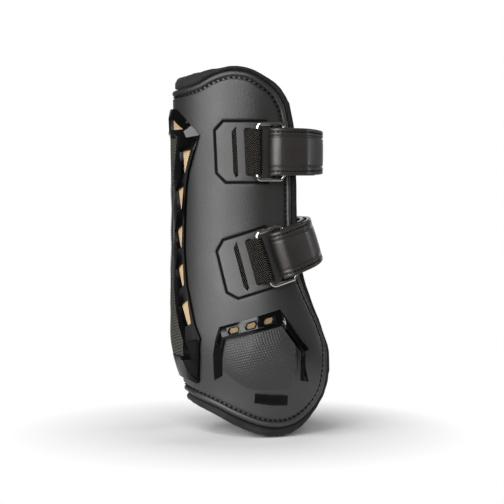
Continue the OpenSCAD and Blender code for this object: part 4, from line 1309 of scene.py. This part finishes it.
def stitch_nodes():
    """Beads along a path, as a Geometry Nodes tree."""
    tree = bpy.data.node_groups.new("stitch_row", "GeometryNodeTree")
    tree.interface.new_socket("Path", in_out="INPUT", socket_type="NodeSocketGeometry")
    for name in rim_stitch:
        tree.interface.new_socket(name, in_out="INPUT", socket_type="NodeSocketFloat")
    tree.interface.new_socket("Stitches", in_out="OUTPUT", socket_type="NodeSocketGeometry")
    start = add(tree, "NodeGroupInput")
    curve = add(tree, "GeometryNodeMeshToCurve", {"Mesh": start.outputs["Path"]})
    row = add(tree, "GeometryNodeResampleCurve",
              {"Curve": curve.outputs[0], "Length": start.outputs["Pitch"]}, mode="LENGTH")
    heading = add(tree, "GeometryNodeInputTangent")
    above = add(tree, "GeometryNodeInputNamedAttribute", {"Name": "up"}, data_type="FLOAT_VECTOR")
    turned = add(tree, "FunctionNodeAlignRotationToVector", {"Vector": heading.outputs[0]}, axis="X")
    turned = add(tree, "FunctionNodeAlignRotationToVector",
                 {"Rotation": turned.outputs[0], "Vector": above.outputs[0]}, axis="Z", pivot_axis="X")
    bead = add(tree, "GeometryNodeMeshUVSphere", {"Segments": 6, "Rings": 5, "Radius": 0.5})
    thick = start.outputs["Thickness"]
    size = add(tree, "ShaderNodeCombineXYZ", {"X": start.outputs["Length"], "Y": thick, "Z": thick})
    shaped = add(tree, "GeometryNodeTransform", {"Geometry": bead.outputs[0], "Scale": size.outputs[0]})
    placed = add(tree, "GeometryNodeInstanceOnPoints",
                 {"Points": row.outputs[0], "Instance": shaped.outputs[0], "Rotation": turned.outputs[0]})
    real = add(tree, "GeometryNodeRealizeInstances", {"Geometry": placed.outputs[0]})
    rounded = add(tree, "GeometryNodeSetShadeSmooth", {"Geometry": real.outputs[0]})
    dyed = add(tree, "GeometryNodeSetMaterial", {"Geometry": rounded.outputs[0], "Material": thread})
    add(tree, "NodeGroupOutput", {"Stitches": dyed.outputs[0]})
    return tree


# %% Rows of stitches
def grown(name, mesh, tree, sizes):
    """The mesh that a Geometry Nodes tree makes from a mesh, with its sizes in millimetres."""
    holder = in_scene(name, mesh)
    rule = holder.modifiers.new("rule", "NODES")
    rule.node_group = tree
    given = {s.name: s.identifier for s in tree.interface.items_tree if s.in_out == "INPUT"}
    for key, value in sizes.items():
        rule[given[key]] = value * MM
    graph = bpy.context.evaluated_depsgraph_get()
    made = bpy.data.meshes.new_from_object(holder.evaluated_get(graph))
    bpy.data.objects.remove(holder)
    return made


stitch_row = stitch_nodes()


def stitches(name, paths, sizes):
    """One mesh of stitches along paths, each (points, up vectors, closed), in metres."""
    points, ups, edges = [], [], []
    for spots, above, closed in paths:
        first, n = len(points), len(spots)
        points += [tuple(p) for p in spots]
        ups += [tuple(p) for p in above]
        edges += [(first + i, first + (i + 1) % n) for i in range(n if closed else n - 1)]
    path = bpy.data.meshes.new(name + "_path")
    path.from_pydata(points, edges, [])
    up_vectors = path.attributes.new("up", "FLOAT_VECTOR", "POINT")
    up_vectors.data.foreach_set("vector", np.array(ups, np.float32).ravel())
    return in_scene(name, grown(name + "_path", path, stitch_row, sizes))


# The rim's row lies in the groove inside the flange
groove_reach, thread_h = -4.75, -0.75
row = rim_loop(groove_reach)
low, high = (wrap(row, thread_h + d) for d in (0, 1))
made = stitches("rim_stitches", [(low, unit(high - low), True)], rim_stitch)
seat(made, "boot", "edge_roll")

# %% [markdown]
# ### Strap runs, tails and tapes
# A strap is flat goods, so it is a strip swept along its run, and its section has the crown, the pressed
# creases and the stitch grooves. Cloth would only blur those.

# %% Strap runs and sewn ends
sewn_box = [(2.5, -9), (2.5, 9), (20, 9), (20, -9)]
box_step, box_middle, stitch_h = 2.2, 10, 0.1


def strap_run(which):
    """The main run, from under the fold round the front to its sewn end."""
    angles = np.linspace(fold_angle(which), math.radians(strap_end), 90)
    run = plan(which, angles, strap_lift(which, angles))
    base = out_of_plane(which, run[:, None], across[None])
    made = ribbon(which + "_strap_run", base, face + strap_t, under, strap_leather)
    seat(made, "boot", "strap", which + "_strap")
    # Two rows of stitches round a box, drawn as distances from the strap's end and from its middle
    paths = []
    for shrink in (0, box_step):
        corners = []
        for s, v in sewn_box:
            corners.append((s + math.copysign(shrink, box_middle - s), v - math.copysign(shrink, v)))
        loop = outline(corners, 1.0)
        spot = np.interp(loop[:, 0], run_length(run[::-1]), angles[::-1])
        lift = strap_lift(which, spot) + strap_t + stitch_h
        low, high = (out_of_plane(which, plan(which, spot, lift + h), loop[:, 1]) for h in (0, 1))
        paths.append((low, unit(high - low), True))
    seat(stitches(which + "_sewn_end_stitches", paths, strap_stitch), "boot", "strap")


# %% Folds and tails
taper_by, groove_v, groove_h, first_stitch = 0.09, 12.8, 0.25, 10
bend_half, bend_along, bend_out = 2.5, 0.9, 0.436


def strap_tail(which):
    """Fold and tail in one piece, narrowing a little to its tip, with its stitches."""
    middle, d, out = fold_frame(which)
    start, end = fold_angle(which), math.radians(tail_end)
    # Half a circle, from the run round the ring's outer bar to the tail
    q = np.radians(np.arange(270, 90, -9))
    fold = middle + fold_r * (np.cos(q)[:, None] * d + np.sin(q)[:, None] * out)
    angles = np.linspace(start + 0.01, end, 80)
    run = np.vstack([fold, plan(which, angles, tail_lift(which, angles))])
    taper = np.concatenate([np.ones(len(fold)), 1 - taper_by * smooth((angles - start) / (end - start))])
    base = out_of_plane(which, run[:, None], across[None] * taper[:, None])
    made = ribbon(which + "_strap_fold_and_tail", base, face + strap_t, under, strap_leather)
    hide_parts(which + "_strap_tail")
    # A line across the crease, which leans outwards
    crease = middle + fold_out * out
    lean = bend_along * d + bend_out * out
    bend_start, bend_end = (tuple(out_of_plane(which, crease + k * lean, 0)) for k in (-bend_half, bend_half))
    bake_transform(made)
    # The stitches lie in its two grooves
    normal = strip_normal(base)
    paths = []
    for v, inward in ((-groove_v, 1), (groove_v, -1)):
        j = int(np.argmin(np.abs(across - v)))
        spots = (base[:, j] + base[:, j + inward]) / 2 + normal[:, j] * (strap_t - groove_h) * MM
        paths.append((spots[first_stitch:-1], normal[first_stitch:-1, j], False))
    made = stitches(which + "_tail_stitches", paths, strap_stitch)
    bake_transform(made)
    print(which, "tail is", round(run_length(run)[-1]), "mm long with its fold")


# %% Hook and loop tapes
tape_start, loop_end, hook_end = 152, tail_end + 16, tail_end - 3
tape_seat, loop_nap, hook_nap = 0.2, 0.1, 0.2
pile = np.array([-0.3, 0, 0, 0, 0, 0, -0.3])
tape_v = np.linspace(-12.5, 12.5, len(pile))


def tapes(which):
    """Loop tape on the run, and hook tape under the tail above it."""
    angles = np.linspace(math.radians(tape_start), math.radians(loop_end), 40)
    lift = strap_lift(which, angles) + strap_t + tape_seat
    base = out_of_plane(which, plan(which, angles, lift)[:, None], tape_v[None])
    made = ribbon(which + "_loop_tape_pile", base, pile + tape_t + loop_nap, 0.0, fibre_tape)
    seat(made, "boot", "hook_and_loop", which + "_loop_tape")
    angles = np.linspace(math.radians(tape_start), math.radians(hook_end), 36)
    lift = tail_lift(which, angles) - gap - tape_t
    base = out_of_plane(which, plan(which, angles, lift)[:, None], tape_v[None])
    made = ribbon(which + "_hook_tape_pile", base, tape_t + hook_nap, -pile, fibre_tape)
    seat(made, which + "_tail", "hook_and_loop", which + "_hook_tape")


for which in tilt:
    strap_run(which)
    strap_tail(which)
    tapes(which)

# %% [markdown]
# ### Rings and elastic tabs
# A ring is one wire bent to a rectangle. That is a rule, so Geometry Nodes make it from four sizes: a
# rectangle with filleted corners, swept with a circle. The elastic is a strip again, whose rows of points
# follow the way it is threaded.

# %% Wire rings
ring_height = elastic_w + 1 + 2 * ring_corner
ring_sizes = {"Span": ring_span, "Height": ring_height, "Corner": ring_corner, "Wire": wire_r}
bar_share = 0.66


def ring_nodes():
    """A wire bent to a rectangle with round corners, as a Geometry Nodes tree."""
    tree = bpy.data.node_groups.new("wire_ring", "GeometryNodeTree")
    for name in ring_sizes:
        tree.interface.new_socket(name, in_out="INPUT", socket_type="NodeSocketFloat")
    tree.interface.new_socket("Ring", in_out="OUTPUT", socket_type="NodeSocketGeometry")
    start = add(tree, "NodeGroupInput")
    shape = add(tree, "GeometryNodeCurvePrimitiveQuadrilateral",
                {"Width": start.outputs["Span"], "Height": start.outputs["Height"]})
    bent = add(tree, "GeometryNodeFilletCurve",
               {"Curve": shape.outputs[0], "Count": 8, "Radius": start.outputs["Corner"]}, mode="POLY")
    wire = add(tree, "GeometryNodeCurvePrimitiveCircle", {"Resolution": 20, "Radius": start.outputs["Wire"]})
    tube = add(tree, "GeometryNodeCurveToMesh", {"Curve": bent.outputs[0], "Profile Curve": wire.outputs[0]})
    rounded = add(tree, "GeometryNodeSetShadeSmooth", {"Geometry": tube.outputs[0]})
    real = add(tree, "GeometryNodeRealizeInstances", {"Geometry": rounded.outputs[0]})
    plated = add(tree, "GeometryNodeSetMaterial", {"Geometry": real.outputs[0], "Material": ring_steel})
    add(tree, "NodeGroupOutput", {"Ring": plated.outputs[0]})
    return tree


def inner_bar(which):
    """Middle of a ring's inner bar in the strap's plane."""
    return plan(which, np.array(pattern_angle(which, -ring_span / 2)), loop_r + base_lift[which])


wire_ring = ring_nodes()


def make_ring(which):
    """A ring from its inner bar to its outer one, which lies between the strap's run and its tail."""
    bar = inner_bar(which)
    angle = pattern_angle(which, ring_span / 2)
    run_h = strap_lift(which, angle) + strap_t
    d = plan(which, np.array(angle), run_h + bar_share * (tail_lift(which, angle) - run_h)) - bar
    d /= np.hypot(*d)
    mesh = grown(which + "_ring_rule", bpy.data.meshes.new("empty"), wire_ring, ring_sizes)
    near, far = (out_of_plane(which, bar + k * d * ring_span, 0) for k in (0, 1))
    x = Vector(far - near).normalized()
    y = Vector(out_of_plane(which, bar, 1) - near).normalized()
    turned = Matrix((x, y, x.cross(y))).transposed().to_4x4()
    mesh.transform(Matrix.Translation((Vector(near) + Vector(far)) / 2) @ turned)
    return in_scene(which + "_wire_ring", mesh)


print("rings are", ring_span, "by", ring_height, "mm between the middles of their wires")

# %% Elastic tabs
# Places and heights on the panel, as far as the slit
hidden_run = ((-26, -0.95), (-22, -0.95), (-17.5, -0.95), (-15.2, -0.7), (-14.0, 0.5))
slit_u = 14.0
free_run = slit_u - ring_span / 2
# Heights above the shell on the way out to the ring and on the way back
out_h, out_rise, back_h, back_drop = 0.7, 1.5, 0.9, 0.5
mid_r = wire_r + bar_gap + elastic_t / 2
tab_v = np.concatenate([[-15, -14.8, -14.4], np.linspace(-13, 13, 9), [14.4, 14.8, 15]])
half_t = np.where(np.abs(tab_v) > 14.9, 0.15, np.where(np.abs(tab_v) > 14.6, 0.5, 0.68))


def make_elastic(which):
    """A tab from under its panel, out of the slit, round the ring's inner bar and back."""
    bar = inner_bar(which)
    forward = direction(which, pattern_angle(which, -ring_span / 2))
    out = np.array([forward[1], -forward[0]])
    rows = [wrap(on_panel(which, u, tab_v), h) for u, h in hidden_run]
    for k in (0.35, 0.7):
        lifted = wrap(on_panel(which, -slit_u + k * free_run, tab_v), out_h + k * out_rise)
        flat = out_of_plane(which, (bar + out * mid_r - forward * free_run * (1 - k))[None], tab_v)
        rows.append(lifted * (1 - k) + flat * k)
    for q in np.radians(np.arange(90, -91, -15)):
        spot = bar + mid_r * (math.cos(q) * forward + math.sin(q) * out)
        rows.append(out_of_plane(which, spot[None], tab_v))
    for k in (0.3, 0.65, 0.95):
        lifted = wrap(on_panel(which, -ring_span / 2 - k * free_run, tab_v), back_h - back_drop * k)
        flat = out_of_plane(which, (bar - out * mid_r - forward * free_run * k)[None], tab_v)
        rows.append(lifted * k + flat * (1 - k))
    return ribbon(which + "_elastic_tab", np.array(rows), half_t, -half_t, webbing)


for which in tilt:
    seat(make_ring(which), which + "_ring", "ring", which + "_ring")
    seat(make_elastic(which), "boot", "elastic", which + "_elastic")

# %% [markdown]
# ## Finish

# %% Finish
bpy.context.view_layer.update()
